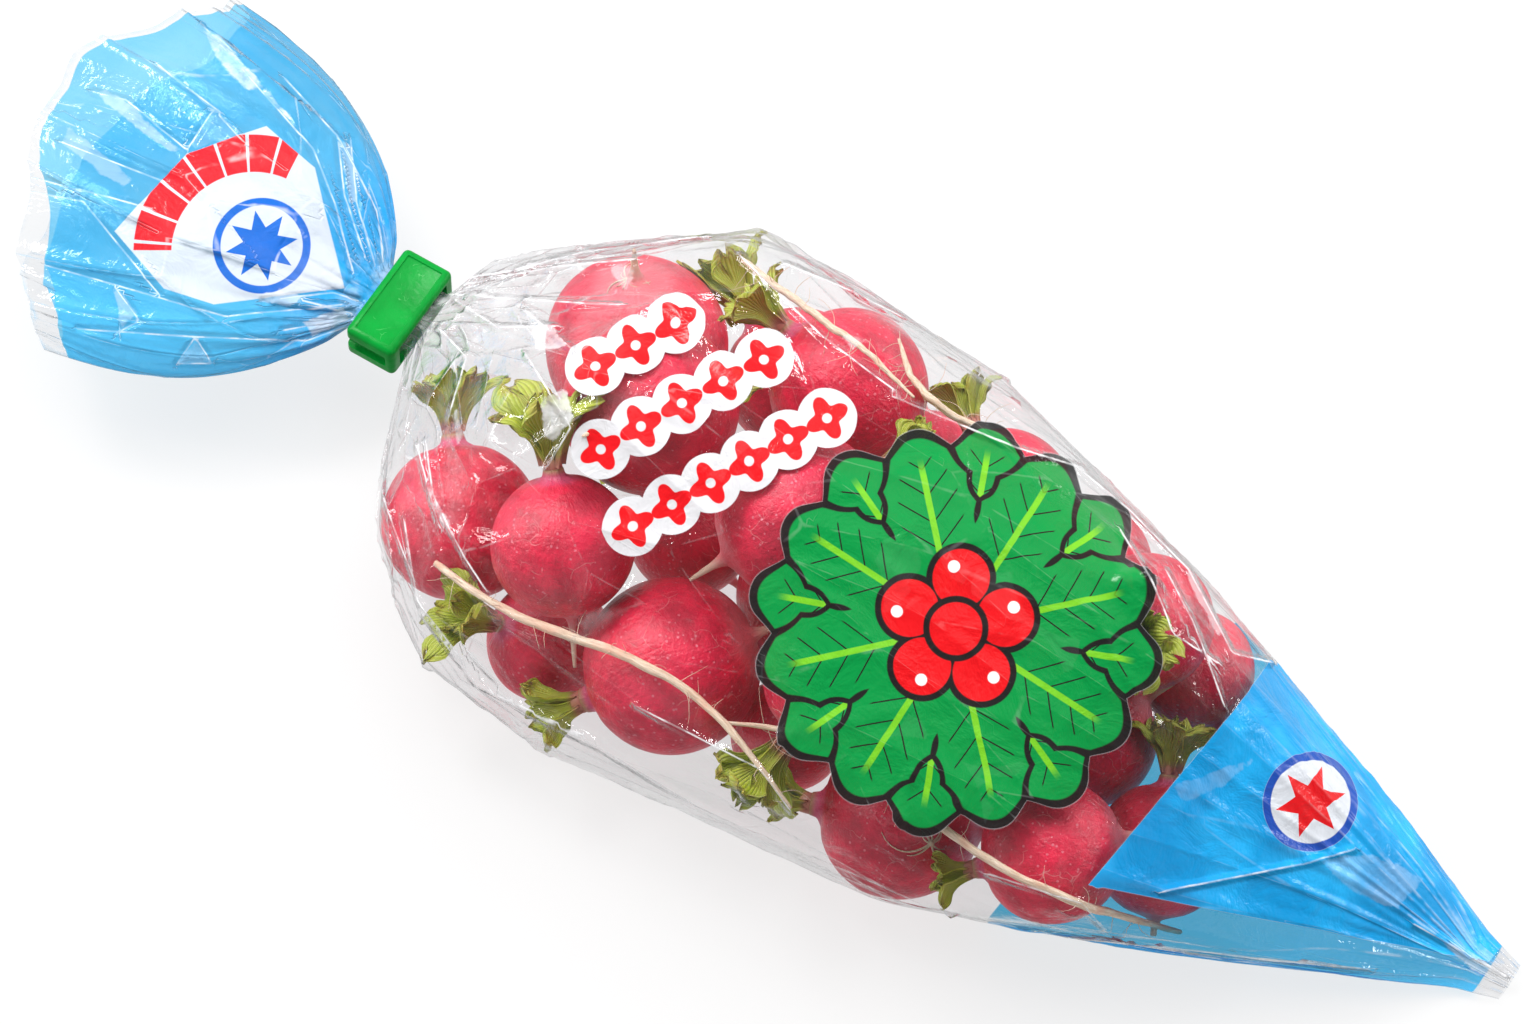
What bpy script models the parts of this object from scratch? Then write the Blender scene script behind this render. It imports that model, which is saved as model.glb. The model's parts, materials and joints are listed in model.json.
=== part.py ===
"""Cone-shaped film bag of trimmed red radishes, lying down, its gathered neck closed by a clip.

The model is worked out in millimetres, from the middle of the clip: x runs along the bag to its
tip, y across it, z up from the surface that it lies on. Meshes are made in metres, centred in plan.
"""
import math

import bmesh
import bpy
import numpy as np
from mathutils import Vector

MM = 0.001

# Bag, mm
NECK_HEIGHT = 23.0
NECK_HALF = (7.2, 2.3)
NECK_REACH = 6.0
TIP_X = 229.0
TIP_HALF = (3.6, 1.3)
TIP_MIDDLE = (0.0, 1.3)
SEAL_START = 221.0
SEAL_HALF = (6.2, 2.6)
SEAL_MIDDLE = (0.0, 2.6)
FILM_WALL = 0.8
FILM_CLEARANCE = 1.5
FILM_COLUMNS = 36
BODY_STATIONS = (9, 13, 19, 27, 37, 48, 60, 73, 87, 101, 115, 129, 143, 157, 171, 185, 198, 210)
SLACK = 2.4
BODY_MIDDLES = ((0, 23), (40, 27), (110, 25), (210, 8), (229, 3))
AIM_WIDTH = 1.25
PLEATS = 9
PLEAT_DEPTH = 0.20
PLEAT_FADE = 16.0

# Collar past the clip, mm
COLLAR_REACH = 70.0
COLLAR_CORNER_CUT = 22.0
COLLAR_HALF = (33.5, 14.5)
COLLAR_SIDE_SHIFT = -2.5
COLLAR_FLARE = 3.0
COLLAR_STATIONS = (0.06, 0.14, 0.26, 0.42, 0.60, 0.80, 1.0)
COLLAR_RUFFLE = 0.07

# Clip, mm: along the bag, across it, thickness
CLIP_SIZE = (10.0, 20.0, 8.2)
CLIP_HOLE = (15.4, 5.6)
CLIP_EDGE = 0.8
CLIP_TRAY_BORDER = 1.5
CLIP_TRAY_DEPTH = 0.5
CLIP_SLOT = (8.4, 1.3, 3.0)
CLIP_INNER_EDGE = 0.3
CLIP_TRAY_EDGE = 0.2

# Gaps between pieces, mm
GAP = 0.35
FLOOR_CLEARANCE = 2.2

# The bag is laid out as seen from this side: right and up are in that view, mm from the clip
VIEW_AZIMUTH = math.radians(32.0)
VIEW_RISE = math.radians(62.0)

# Each radish: right, up, height of its middle, diameter, where its crown points (turn from the
# bag's axis, rise), in degrees, its leaf stub's length, and True if it lies on top, in sight
RADISHES = {
    "A": (42.2, -6.2, 24, 32.6, (332, -76), 4.5, True),
    "B": (44.6, -18.0, 51, 31.0, (100, -35), 7.5, True),
    "C": (79.5, -13.8, 36, 28.0, (176, 17), 8.5, True),
    "D": (11.5, -37.4, 23, 28.0, (128, 28), 10.5, True),
    "E": (30.5, -41.1, 41, 25.2, (149, 30), 11.5, True),
    "F": (48.5, -62.1, 29, 31.0, (207, -25), 8.0, True),
    "G": (71.1, -36.5, 50, 29.8, (58, 12), 9.0, True),
    "H": (77.8, -63.8, 40, 26.6, (258, -24), 11.0, True),
    "I": (88.7, -88.5, 17, 28.6, (186, -6), 6.0, True),
    "J": (114.3, -94.0, 28, 25.0, (205, -18), 5.8, True),
    "K": (133.7, -94.4, 14, 23.8, (120, 20), 8.0, True),
    "L": (106.3, -33.5, 36, 25.2, (158, 4), 8.0, True),
    "M": (131.0, -54.7, 33, 24.0, (262, 66), 9.5, True),
    "N": (27.0, -58.2, 14, 22.0, (202, 46), 9.5, True),
    "O": (139.9, -63.5, 14, 21.4, (330, -10), 8.5, True),
    "P": (51.7, -39.7, 14, 22.0, (180, 10), 6.5, True),
    "Q": (103.7, -67.0, 31, 26.0, (20, 30), 9.0, True),
    "R": (121.3, -75.0, 14, 24.4, (235, -20), 5.5, True),
    "S": (71.8, -9.0, 15, 26.0, (165, 25), 10.5, False),
    "T": (89.6, -28.2, 15, 25.0, (300, -10), 6.0, False),
    "U": (72.0, -50.0, 15, 26.0, (250, 0), 8.5, False),
    "V": (113.0, -44.0, 16, 25.0, (200, 40), 6.0, False),
    "W": (100.0, -66.0, 14, 24.0, (300, -20), 8.0, False),
    "X": (64.0, -76.7, 12, 20.0, (100, 0), 6.5, False),
    "Y": (158.0, -88.0, 12, 19.0, (180, 35), 7.5, False),
}

# Long taproots, thin end last: the radish each grew from, its thickest diameter, its course
TAPROOTS = {
    "D": (1.9, ((7.6, -44.5), (15.5, -50.4), (28.7, -56.4), (42.9, -60.8), (53.4, -67.0), (62.3, -76.7),
                (69.3, -86.4))),
    "K": (1.9, ((137.0, -108.6), (120.5, -103.2), (103.7, -96.1), (95.8, -89.9), (83.4, -78.5),
                (71.1, -72.7), (57.5, -71.8))),
    "C": (1.5, ((90.5, -15.9), (81.7, -7.1), (76.4, -3.5), (69.3, 1.8), (61.0, 8.5))),
    "L": (1.7, ((114.3, -33.5), (108.1, -26.5), (103.7, -22.0), (93.1, -16.8), (89.6, -11.5),
                (88.2, -5.6))),
}
TAPROOT_POINTS = 15
TAPROOT_SIDES = 6
TAPROOT_ROOM = 0.9

# Side folds of the flat film where they stand clear of the radishes: right, up, height
LOWER_FOLD = ((-2.1, -21.2, 16), (-3.0, -30.0, 10), (-0.4, -44.1, 5), (9.3, -57.3, 3), (19.9, -68.8, 3),
              (35.8, -76.7, 3), (53.4, -84.7, 3), (71.1, -96.1, 3), (88.7, -104.1, 3),
              (111.6, -108.5, 3), (141.6, -112.9, 3), (176.9, -117.3, 3))
UPPER_FOLD = ((14.6, 8.0, 28), (28.7, 10.5, 30), (53.4, 12.2, 32), (79.9, 5.2, 32), (93.1, -5.2, 30),
              (115.2, -22.0, 28), (134.6, -41.4, 24), (152.2, -62.2, 18), (176.9, -89.6, 9))

# Room for what lies out of sight: distance from the clip, half width, height
FLAT_BOTTOM = 0.55
ROOM = ((8, 10, 34), (25, 36, 50), (45, 47, 62), (65, 49, 67), (90, 49, 67), (115, 45, 60),
        (140, 39, 50), (165, 30, 38), (190, 20, 26), (215, 10, 14), (229, 4, 6))

# A globe from crown to root, in its own radii: distance along its axis, half width; then its tail
RADISH_SIDES = 10
KNOB = 1.12
GLOBE_PROFILE = ((1.12, 0.14), (0.99, 0.18), (0.866, 0.5), (0.559, 0.829), (0.105, 0.995), (-0.374, 0.927),
                 (-0.743, 0.669), (-0.93, 0.34))
TAIL_START = 1.02
TAIL_NECK = 0.14
TAIL_WIDTHS = (0.13, 0.07)
TAIL_END = 0.55
TAIL_LENGTHS = (4.0, 9.0)
TAIL_ROOM = 1.4
TAIL_SPACING = 1.8
TAIL_LIFT = 1.0

# A leaf stub: ring by ring, where its valleys and its lobes stand, out and up in its own length
LOBES = 5
STUB_BASE = 1.9
STUB_RINGS = (((0.30, 0.34), (0.42, 0.50)), ((0.30, 0.42), (0.74, 1.0)))
LOBE_TURNS = (0.0, -0.45, 0.45)
STUB_WALL = 0.9
STUB_ROOM = 0.6
STUB_SPACING = 1.6
STUB_REACH = (4.0, 9.0)
STUB_HALF = 3.5
ROOM_MARGIN = 1.8

# Settling the heap: rounds, rounds with a pull to the wished places, how readily radishes move
ROUNDS = 900
DRAWN_ROUNDS = 700
EASE_IN_SIGHT = 0.3
SINK = 0.03

RED = ((0.55, 0.02, 0.07), 0.35, 0.0)
GREEN = ((0.42, 0.50, 0.10), 0.55, 0.0)
CREAM = ((0.80, 0.60, 0.42), 0.60, 0.0)
FILM = ((0.80, 0.88, 0.92), 0.12, 0.0)
CLIP_GREEN = ((0.0, 0.42, 0.06), 0.35, 0.0)


def view_axes():
    """Unit vectors of the view: to its right, up in it, and back towards the eye."""
    ca, sa = math.cos(VIEW_AZIMUTH), math.sin(VIEW_AZIMUTH)
    ce, se = math.cos(VIEW_RISE), math.sin(VIEW_RISE)
    return np.array(((ca, sa, 0.0), (-sa * se, ca * se, ce), (sa * ce, -ca * ce, se)))


RIGHT, UP, BACK = view_axes()


def seen_at(right, up, height):
    """The point at this height that shows right and up from the clip's middle in the view."""
    point = right * RIGHT + up * UP
    return point + BACK * (height - NECK_HEIGHT - point[2]) / BACK[2] + (0.0, 0.0, NECK_HEIGHT)


def heading(turn, rise):
    turn, rise = math.radians(turn), math.radians(rise)
    return np.array((math.cos(turn) * math.cos(rise), math.sin(turn) * math.cos(rise), math.sin(rise)))


def spread_directions(count):
    """Even directions over a sphere, on a golden-angle spiral."""
    step = np.arange(count) + 0.5
    rise = np.arccos(1.0 - 2.0 * step / count)
    turn = math.pi * (1.0 + math.sqrt(5.0)) * step
    return np.stack((np.cos(turn) * np.sin(rise), np.sin(turn) * np.sin(rise), np.cos(rise)), axis=1)


def room_excess(points, margin):
    """How far outside the bag's room each point is, 1.0 being its edge, and the room's middle."""
    stations, halves, heights = np.array(ROOM, dtype=float).T
    half = np.interp(points[:, 0], stations, halves) - margin
    rise = np.interp(points[:, 0], stations, heights) / 2.0
    across = points[:, 1] / np.maximum(half, 1.0)
    upward = (points[:, 2] - rise) / np.maximum(rise - margin, 1.0)
    upward = np.where(upward < 0.0, upward * FLAT_BOTTOM, upward)
    return np.hypot(across, upward), rise


def settle(places, radii, in_sight):
    """Part the radishes: those in sight slide mostly along the view, the rest drop into the room."""
    target = places.copy()
    count = len(radii)
    reach = radii[:, None] + radii[None, :] + 2.0 * GAP
    ease = np.where(in_sight, EASE_IN_SIGHT, 1.0)
    ease = ease[:, None] / (ease[:, None] + ease[None, :])
    for step in range(ROUNDS):
        apart = places[None, :, :] - places[:, None, :]
        distance = np.linalg.norm(apart, axis=2) + np.eye(count) * 1000.0
        push = np.maximum(reach - distance, 0.0)
        shift = -(apart / distance[:, :, None] * (push * ease)[:, :, None]).sum(axis=1)
        along = shift @ BACK
        across = shift - along[:, None] * BACK
        shift = np.where(in_sight[:, None], along[:, None] * BACK * 1.3 + across * 0.4, shift)
        places = places + shift * 0.8
        if step < DRAWN_ROUNDS:
            drift = target - places
            drift -= (drift @ BACK)[:, None] * BACK * 0.8
            places += np.where(in_sight[:, None], drift * 0.15, (0.0, 0.0, -SINK))
        excess, middle = room_excess(places, radii + FILM_CLEARANCE)
        pull = np.where(in_sight, 0.0, 0.3) * np.maximum(excess - 1.0, 0.0) / np.maximum(excess, 1.0)
        centre = np.stack((places[:, 0], np.zeros(count), middle), axis=1)
        places += (centre - places) * pull[:, None]
        places[:, 2] = np.maximum(places[:, 2], radii + FLOOR_CLEARANCE)
    return places


def clear_of(points, centres, radii):
    """Move points out of the balls they are in."""
    points = points.copy()
    for _ in range(12):
        for centre, radius in zip(centres, radii):
            away = points - centre
            distance = np.linalg.norm(away, axis=1)
            inside = distance < radius
            away[inside] *= (radius / np.maximum(distance[inside], 1e-6))[:, None]
            points = np.where(inside[:, None], centre + away, points)
    points[:, 2] = np.maximum(points[:, 2], FLOOR_CLEARANCE)
    return points


def square_axes(axis):
    """Two unit vectors square to an axis."""
    side = np.cross(axis, (0.0, 0.0, 1.0) if abs(axis[2]) < 0.9 else (1.0, 0.0, 0.0))
    side /= np.linalg.norm(side)
    return side, np.cross(axis, side)


def make_material(name, finish):
    """A material from colour, roughness and metallic."""
    material = bpy.data.materials.new(name)
    material.use_nodes = True
    shader = material.node_tree.nodes["Principled BSDF"]
    shader.inputs["Base Color"].default_value = (*finish[0], 1.0)
    shader.inputs["Roughness"].default_value = finish[1]
    shader.inputs["Metallic"].default_value = finish[2]
    return material


def make_object(name, vertices, faces, finish):
    """A smooth-shaded mesh object from points in mm."""
    mesh = bpy.data.meshes.new(name)
    mesh.from_pydata([tuple(point) for point in np.asarray(vertices) * MM], [], faces)
    mesh.validate()
    mesh.update()
    mesh.shade_smooth()
    mesh.materials.append(make_material(name, finish))
    thing = bpy.data.objects.new(name, mesh)
    bpy.context.collection.objects.link(thing)
    return thing


def ring_faces(rings, columns):
    """Quads between rings of points, each ring after the last."""
    faces = []
    for ring in range(rings - 1):
        for column in range(columns):
            after = (column + 1) % columns
            low, high = ring * columns, (ring + 1) * columns
            faces.append((low + column, low + after, high + after, high + column))
    return faces


def radish_rings(centre, radius, crown, tail_path):
    """Points of a globe from its crown knob to the end of its root tail, ring by ring."""
    side, square = square_axes(crown)
    rings = [(centre + crown * along * radius, out * radius) for along, out in GLOBE_PROFILE]
    rings += list(zip(tail_path, (TAIL_WIDTHS[0] * radius, TAIL_WIDTHS[1] * radius, TAIL_END)))
    turns = np.arange(RADISH_SIDES) * 2.0 * math.pi / RADISH_SIDES
    points = [middle + side * out * math.cos(turn) + square * out * math.sin(turn)
              for middle, out in rings for turn in turns]
    return np.array(points), len(rings)


def make_radish(name, centre, radius, crown, tail_path):
    points, rings = radish_rings(centre, radius, crown, tail_path)
    last = rings * RADISH_SIDES
    points = np.vstack((points, centre + crown * KNOB * radius, tail_path[-1] - crown * 0.4))
    faces = ring_faces(rings, RADISH_SIDES)
    for column in range(RADISH_SIDES):
        after = (column + 1) % RADISH_SIDES
        faces.append((last, after, column))
        low = (rings - 1) * RADISH_SIDES
        faces.append((low + column, low + after, last + 1))
    return outward(make_object(name, points, faces, RED))


def outward(thing):
    """Turn an object's faces to point out."""
    bm = bmesh.new()
    bm.from_mesh(thing.data)
    bmesh.ops.recalc_face_normals(bm, faces=bm.faces)
    bm.to_mesh(thing.data)
    bm.free()
    return thing


def tail_for(centre, radius, crown, length, others, other_radii):
    """Three points down a root tail, bent clear of the neighbours."""
    start = centre - crown * radius * TAIL_START
    neck = start - crown * radius * TAIL_NECK
    path = np.array((start, neck, neck - crown * length - (0.0, 0.0, 0.12 * length)))
    path[1:] = clear_of(path[1:], others, other_radii + TAIL_ROOM)
    path[1:, 2] = np.maximum(path[1:, 2], FLOOR_CLEARANCE + TAIL_LIFT)
    return path


def crown_direction(centre, radius, wish, length, others, other_radii, taken, in_sight):
    """The direction nearest the wished one in which a leaf stub has room."""
    choices = spread_directions(400)
    angle = np.degrees(np.arccos(np.clip(choices @ wish, -1.0, 1.0)))
    choices, angle = choices[angle < 75], angle[angle < 75]
    score = np.full(len(choices), 100.0)
    for distance, need in ((0.3, 0.26), (0.7, 0.44), (1.1, 0.5)):
        need = need * length
        points = centre + choices * (radius * 1.08 + distance * length)
        gap = np.linalg.norm(points[:, None, :] - others[None], axis=2) - other_radii
        room = gap.min(axis=1) - need
        if len(taken):
            near = np.linalg.norm(points[:, None, :] - taken[None], axis=2).min(axis=1)
            room = np.minimum(room, near - need - 2.5)
        room = np.minimum(room, points[:, 2] - need)
        if not in_sight:
            excess, _ = room_excess(points, np.full(len(points), 2.0))
            room = np.minimum(room, (1.0 - excess) * 30.0)
        score = np.minimum(score, room)
    for distance, need in ((1.5, 1.4), (4.0, 1.8)):
        points = centre - choices * (radius * 1.04 + distance)
        gap = np.linalg.norm(points[:, None, :] - others[None], axis=2) - other_radii
        score = np.minimum(score, gap.min(axis=1) - need)
    return choices[np.argmax(np.minimum(score, 0.5) - angle * 0.06)]


def stub_midsurface(centre, radius, crown, length, random):
    """Mid-surface rings of a lobed, flaring tuft of cut leaf stalks."""
    side, square = square_axes(crown)
    base = centre + crown * (KNOB * radius + GAP)
    rings = []
    spins = random.uniform(0.85, 1.15, LOBES)
    turn_start = random.uniform(0.0, 2.0 * math.pi)
    foot = (STUB_BASE / length, 0.0)
    for valley, lobe in ((foot, foot),) + STUB_RINGS:
        points = []
        for column in range(3 * LOBES):
            grown = spins[column // 3]
            in_valley = column % 3 == 0
            turn = turn_start + (column + LOBE_TURNS[column % 3]) * 2.0 * math.pi / (3 * LOBES)
            out, rise = np.array(valley if in_valley else lobe) * length
            if rise and not in_valley:
                out, rise = out * (2.0 - grown), rise * grown
            points.append(base + side * out * math.cos(turn) + square * out * math.sin(turn) + crown * rise)
        rings.append(points)
    return np.array(rings), base


def make_stub(name, centre, radius, crown, length, others, other_radii, random):
    """A leaf stub: the lobed tuft as one thin-walled closed body; gives its points."""
    middle, base = stub_midsurface(centre, radius, crown, length, random)
    columns = middle.shape[1]
    free = middle[1:].reshape(-1, 3)
    balls = np.vstack((others, centre))
    ball_radii = np.append(other_radii, radius) + STUB_WALL / 2.0 + GAP + STUB_ROOM
    middle[1:] = clear_of(free, balls, ball_radii).reshape(2, columns, 3)
    around = np.roll(middle, -1, axis=1) - np.roll(middle, 1, axis=1)
    rise = np.gradient(middle, axis=0)
    normal = np.cross(around, rise)
    normal /= np.linalg.norm(normal, axis=2)[:, :, None]
    outer = middle + normal * STUB_WALL / 2.0
    inner = middle - normal * STUB_WALL / 2.0
    points = np.vstack((outer[0], outer[1], outer[2], inner[2], inner[1], base, base + crown * length * 0.2))
    faces = ring_faces(5, columns)
    for column in range(columns):
        after = (column + 1) % columns
        faces.append((5 * columns, after, column))
        faces.append((4 * columns + column, 4 * columns + after, 5 * columns + 1))
    triangles = [part for face in faces for part in split_face(face)]
    outward(make_object(name, points, triangles, GREEN))
    return points


def split_face(face):
    """A quad as two triangles, cut the same way on both faces of a wall."""
    if len(face) == 3:
        return [face]
    return [(face[0], face[1], face[2]), (face[0], face[2], face[3])]


def smooth_course(points, count):
    """Even points on a smooth curve through a few."""
    points = np.asarray(points, dtype=float)
    for _ in range(3):
        quarter = points[:-1] * 0.75 + points[1:] * 0.25
        three = points[:-1] * 0.25 + points[1:] * 0.75
        points = np.vstack((points[:1], np.stack((quarter, three), axis=1).reshape(-1, points.shape[1]),
                            points[-1:]))
    lengths = np.concatenate(((0.0,), np.cumsum(np.linalg.norm(np.diff(points, axis=0), axis=1))))
    even = np.linspace(0.0, lengths[-1], count)
    return np.stack([np.interp(even, lengths, points[:, axis]) for axis in range(points.shape[1])], axis=1)


def drape(course, thickness, balls, ball_radii):
    """Lay a course, given in the view, over the balls that it crosses, drawn tight between them."""
    flat = smooth_course(course, TAPROOT_POINTS)
    level = np.array((0.0, 0.0, NECK_HEIGHT))
    seen = np.stack(((balls - level) @ RIGHT, (balls - level) @ UP), axis=1)
    depth = (balls - level) @ BACK
    reach = ball_radii + thickness / 2.0 + GAP + TAPROOT_ROOM
    lift = (FLOOR_CLEARANCE + thickness - NECK_HEIGHT - flat[:, 1] * UP[2]) / BACK[2]
    for index, point in enumerate(flat):
        gap = np.linalg.norm(seen - point, axis=1)
        over = gap < reach
        if over.any():
            top = (depth[over] + np.sqrt(reach[over] ** 2 - gap[over] ** 2)).max()
            lift[index] = max(lift[index], top)
    step = np.concatenate(((0.0,), np.cumsum(np.linalg.norm(np.diff(flat, axis=0), axis=1))))
    tight = lift.copy()
    for first in range(len(flat)):
        for last in range(first + 1, len(flat)):
            between = slice(first, last + 1)
            line = np.interp(step[between], (step[first], step[last]), (lift[first], lift[last]))
            tight[between] = np.maximum(tight[between], line)
    return level + flat[:, :1] * RIGHT + flat[:, 1:] * UP + tight[:, None] * BACK


def make_taproot(name, path, thickness):
    """A tapering root along a path, thick end first."""
    tangent = np.gradient(path, axis=0)
    tangent /= np.linalg.norm(tangent, axis=1)[:, None]
    share = np.linspace(0.0, 1.0, len(path))
    widths = thickness / 2.0 * (0.35 + 0.65 * np.sin(np.pi * (0.12 + 0.86 * share)) ** 0.7)
    points = []
    for middle, along, width in zip(path, tangent, widths):
        side, square = square_axes(along)
        for corner in range(TAPROOT_SIDES):
            turn = corner * 2.0 * math.pi / TAPROOT_SIDES
            points.append(middle + width * (side * math.cos(turn) + square * math.sin(turn)))
    last = (len(path) - 1) * TAPROOT_SIDES
    faces = ring_faces(len(path), TAPROOT_SIDES)
    faces += [tuple(reversed(range(TAPROOT_SIDES))), tuple(range(last, last + TAPROOT_SIDES))]
    return outward(make_object(name, points, faces, CREAM))


def hull_planes(points):
    """Outward normals and offsets of the planes of a convex hull."""
    bm = bmesh.new()
    for point in points:
        bm.verts.new(point)
    bmesh.ops.convex_hull(bm, input=bm.verts)
    planes = {}
    middle = Vector(points.mean(axis=0))
    for face in bm.faces:
        face.normal_update()
        if face.normal.length < 0.5:
            continue
        normal = face.normal if face.normal.dot(face.verts[0].co - middle) > 0 else -face.normal
        planes[tuple(round(value, 4) for value in normal)] = normal.dot(face.verts[0].co)
    bm.free()
    return np.array(list(planes.keys())), np.array(list(planes.values()))


def reach_to_hull(origin, directions, normals, offsets):
    """How far each direction goes from the origin before it leaves the hull."""
    slope = directions @ normals.T
    room = offsets - normals @ origin
    share = np.where(slope > 1e-6, room[None] / np.maximum(slope, 1e-6), 1e9)
    return share.min(axis=1)


def column_turns():
    return np.arange(FILM_COLUMNS) * 2.0 * math.pi / FILM_COLUMNS


def oval(x, centre, halves):
    """A ring of points round the bag's axis."""
    turns = column_turns()
    return np.stack((np.full(FILM_COLUMNS, float(x)), centre[0] + halves[0] * np.cos(turns),
                     centre[1] + halves[1] * np.sin(turns)), axis=1)


def body_origins():
    """The middle of each body station's ring."""
    stations = np.array(BODY_STATIONS, dtype=float)
    heights = np.interp(stations, *np.array(BODY_MIDDLES, dtype=float).T)
    return np.stack((stations, np.zeros(len(stations)), heights), axis=1)


def make_room(origins, aims, reach, contents):
    """Let the film out round each station until its flat facets clear everything inside."""
    stations = origins[:, 0]
    inside = contents[(contents[:, 0] > stations[0]) & (contents[:, 0] < stations[-1])]
    row = np.searchsorted(stations, inside[:, 0], side="right") - 1
    share = ((inside[:, 0] - stations[row]) / (stations[row + 1] - stations[row]))[:, None]
    origin = origins[row] * (1.0 - share) + origins[row + 1] * share
    away = inside - origin
    distance = np.linalg.norm(away, axis=1)
    turn = np.arctan2(away[:, 2], away[:, 1] / AIM_WIDTH) % (2.0 * math.pi)
    spot = turn / (2.0 * math.pi) * FILM_COLUMNS
    column = spot.astype(int) % FILM_COLUMNS
    part = (spot - np.floor(spot))[:, None]
    after = (column + 1) % FILM_COLUMNS
    for _ in range(5):
        film = origins[:, None] + aims[None] * reach[:, :, None]
        facet = ((film[row, column] * (1.0 - part) + film[row, after] * part) * (1.0 - share)
                 + (film[row + 1, column] * (1.0 - part) + film[row + 1, after] * part) * share)
        room = ((facet - origin) * away).sum(axis=1) / distance
        grow_by = np.maximum((distance + ROOM_MARGIN) / room, 1.0)
        wanted = np.ones_like(reach)
        for rows, columns in ((row, column), (row, after), (row + 1, column), (row + 1, after)):
            np.maximum.at(wanted, (rows, columns), grow_by)
        reach = reach * wanted
    return reach


def body_rings(normals, offsets, contents):
    """Rings of the bag's body, hugging its contents, slack on the ground, pleated by the neck."""
    turns = column_turns()
    aims = np.stack((np.zeros(FILM_COLUMNS), AIM_WIDTH * np.cos(turns), np.sin(turns)), axis=1)
    aims /= np.linalg.norm(aims, axis=1)[:, None]
    pleat = 0.5 + 0.5 * np.cos(turns * PLEATS)
    origins = body_origins()
    reach = np.array([reach_to_hull(origin, aims, normals, offsets) for origin in origins])
    depth = PLEAT_DEPTH * np.exp(-(origins[:, 0] - NECK_REACH) / PLEAT_FADE)
    reach *= 1.0 + depth[:, None] * pleat[None]
    reach = make_room(origins, aims, reach, contents)
    rings = origins[:, None] + aims[None] * reach[:, :, None]
    rings[:, :, 2] = np.where(rings[:, :, 2] < SLACK, 0.0, rings[:, :, 2])
    return list(rings)


def collar_rings():
    """Rings of the open collar, out to its fan-shaped mouth."""
    turns = column_turns()
    rings = []
    for share in COLLAR_STATIONS:
        flare = (1.0 - math.exp(-COLLAR_FLARE * share)) / (1.0 - math.exp(-COLLAR_FLARE))
        mouth = COLLAR_REACH - COLLAR_CORNER_CUT * np.cos(turns) ** 2
        half_width = NECK_HALF[0] + (COLLAR_HALF[0] - NECK_HALF[0]) * flare
        half_height = NECK_HALF[1] + (COLLAR_HALF[1] - NECK_HALF[1]) * flare
        ruffle = 1.0 + COLLAR_RUFFLE * flare * np.cos(turns * PLEATS)
        rings.append(np.stack((-NECK_REACH - (mouth - NECK_REACH) * share,
                               COLLAR_SIDE_SHIFT * share + half_width * ruffle * np.cos(turns),
                               NECK_HEIGHT + half_height * ruffle * np.sin(turns)), axis=1))
    return rings


def inner_ring(ring):
    """A ring drawn in by the film's wall, square to its own outline."""
    along = np.roll(ring, -1, axis=0) - np.roll(ring, 1, axis=0)
    inward = np.stack((np.zeros(len(ring)), -along[:, 2], along[:, 1]), axis=1)
    inward /= np.linalg.norm(inward, axis=1)[:, None]
    return ring + inward * FILM_WALL


def make_film(contents, hull_points):
    """The bag as one closed thin wall: sealed tip, body, gathered neck, open collar."""
    normals, offsets = hull_planes(hull_points)
    neck = [oval(x, (0.0, NECK_HEIGHT), NECK_HALF) for x in (NECK_REACH, -NECK_REACH)]
    body = body_rings(normals, offsets, contents)
    seal = [oval(SEAL_START, SEAL_MIDDLE, SEAL_HALF), oval(TIP_X, TIP_MIDDLE, TIP_HALF)]
    outer = seal[::-1] + body[::-1] + neck + collar_rings()
    inner = [inner_ring(ring) for ring in outer[1:]]
    rings = outer + inner[::-1]
    points = np.vstack(rings + [np.array(((TIP_X, *TIP_MIDDLE), (SEAL_START, *SEAL_MIDDLE)))])
    faces = ring_faces(len(rings), FILM_COLUMNS)
    last = len(rings) * FILM_COLUMNS
    for column in range(FILM_COLUMNS):
        after = (column + 1) % FILM_COLUMNS
        faces.append((last, after, column))
        low = (len(rings) - 1) * FILM_COLUMNS
        faces.append((low + column, low + after, last + 1))
    triangles = [part for face in faces for part in split_face(face)]
    return outward(make_object("bag_film", points, triangles, FILM))


def block(name, low, high):
    """A box between two corners, in mm."""
    bm = bmesh.new()
    bmesh.ops.create_cube(bm, size=1.0)
    low, high = np.array(low), np.array(high)
    for vertex in bm.verts:
        vertex.co = Vector((low + (np.array(vertex.co) + 0.5) * (high - low)) * MM)
    mesh = bpy.data.meshes.new(name)
    bm.to_mesh(mesh)
    bm.free()
    thing = bpy.data.objects.new(name, mesh)
    bpy.context.collection.objects.link(thing)
    return thing


def round_edges(thing, width, segments):
    bm = bmesh.new()
    bm.from_mesh(thing.data)
    bmesh.ops.bevel(bm, geom=bm.edges[:], offset=width * MM, segments=segments, affect="EDGES", profile=0.5)
    bm.to_mesh(thing.data)
    bm.free()


def cut(thing, low, high, rounding):
    """Cut a box out of an object, its edges rounded."""
    cutter = block("cutter", low, high)
    round_edges(cutter, rounding, 2)
    modifier = thing.modifiers.new("cut", "BOOLEAN")
    modifier.operation = "DIFFERENCE"
    modifier.solver = "EXACT"
    modifier.object = cutter
    evaluated = thing.evaluated_get(bpy.context.evaluated_depsgraph_get())
    mesh = bpy.data.meshes.new_from_object(evaluated)
    thing.modifiers.clear()
    thing.data = mesh
    bpy.data.objects.remove(cutter)


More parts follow.
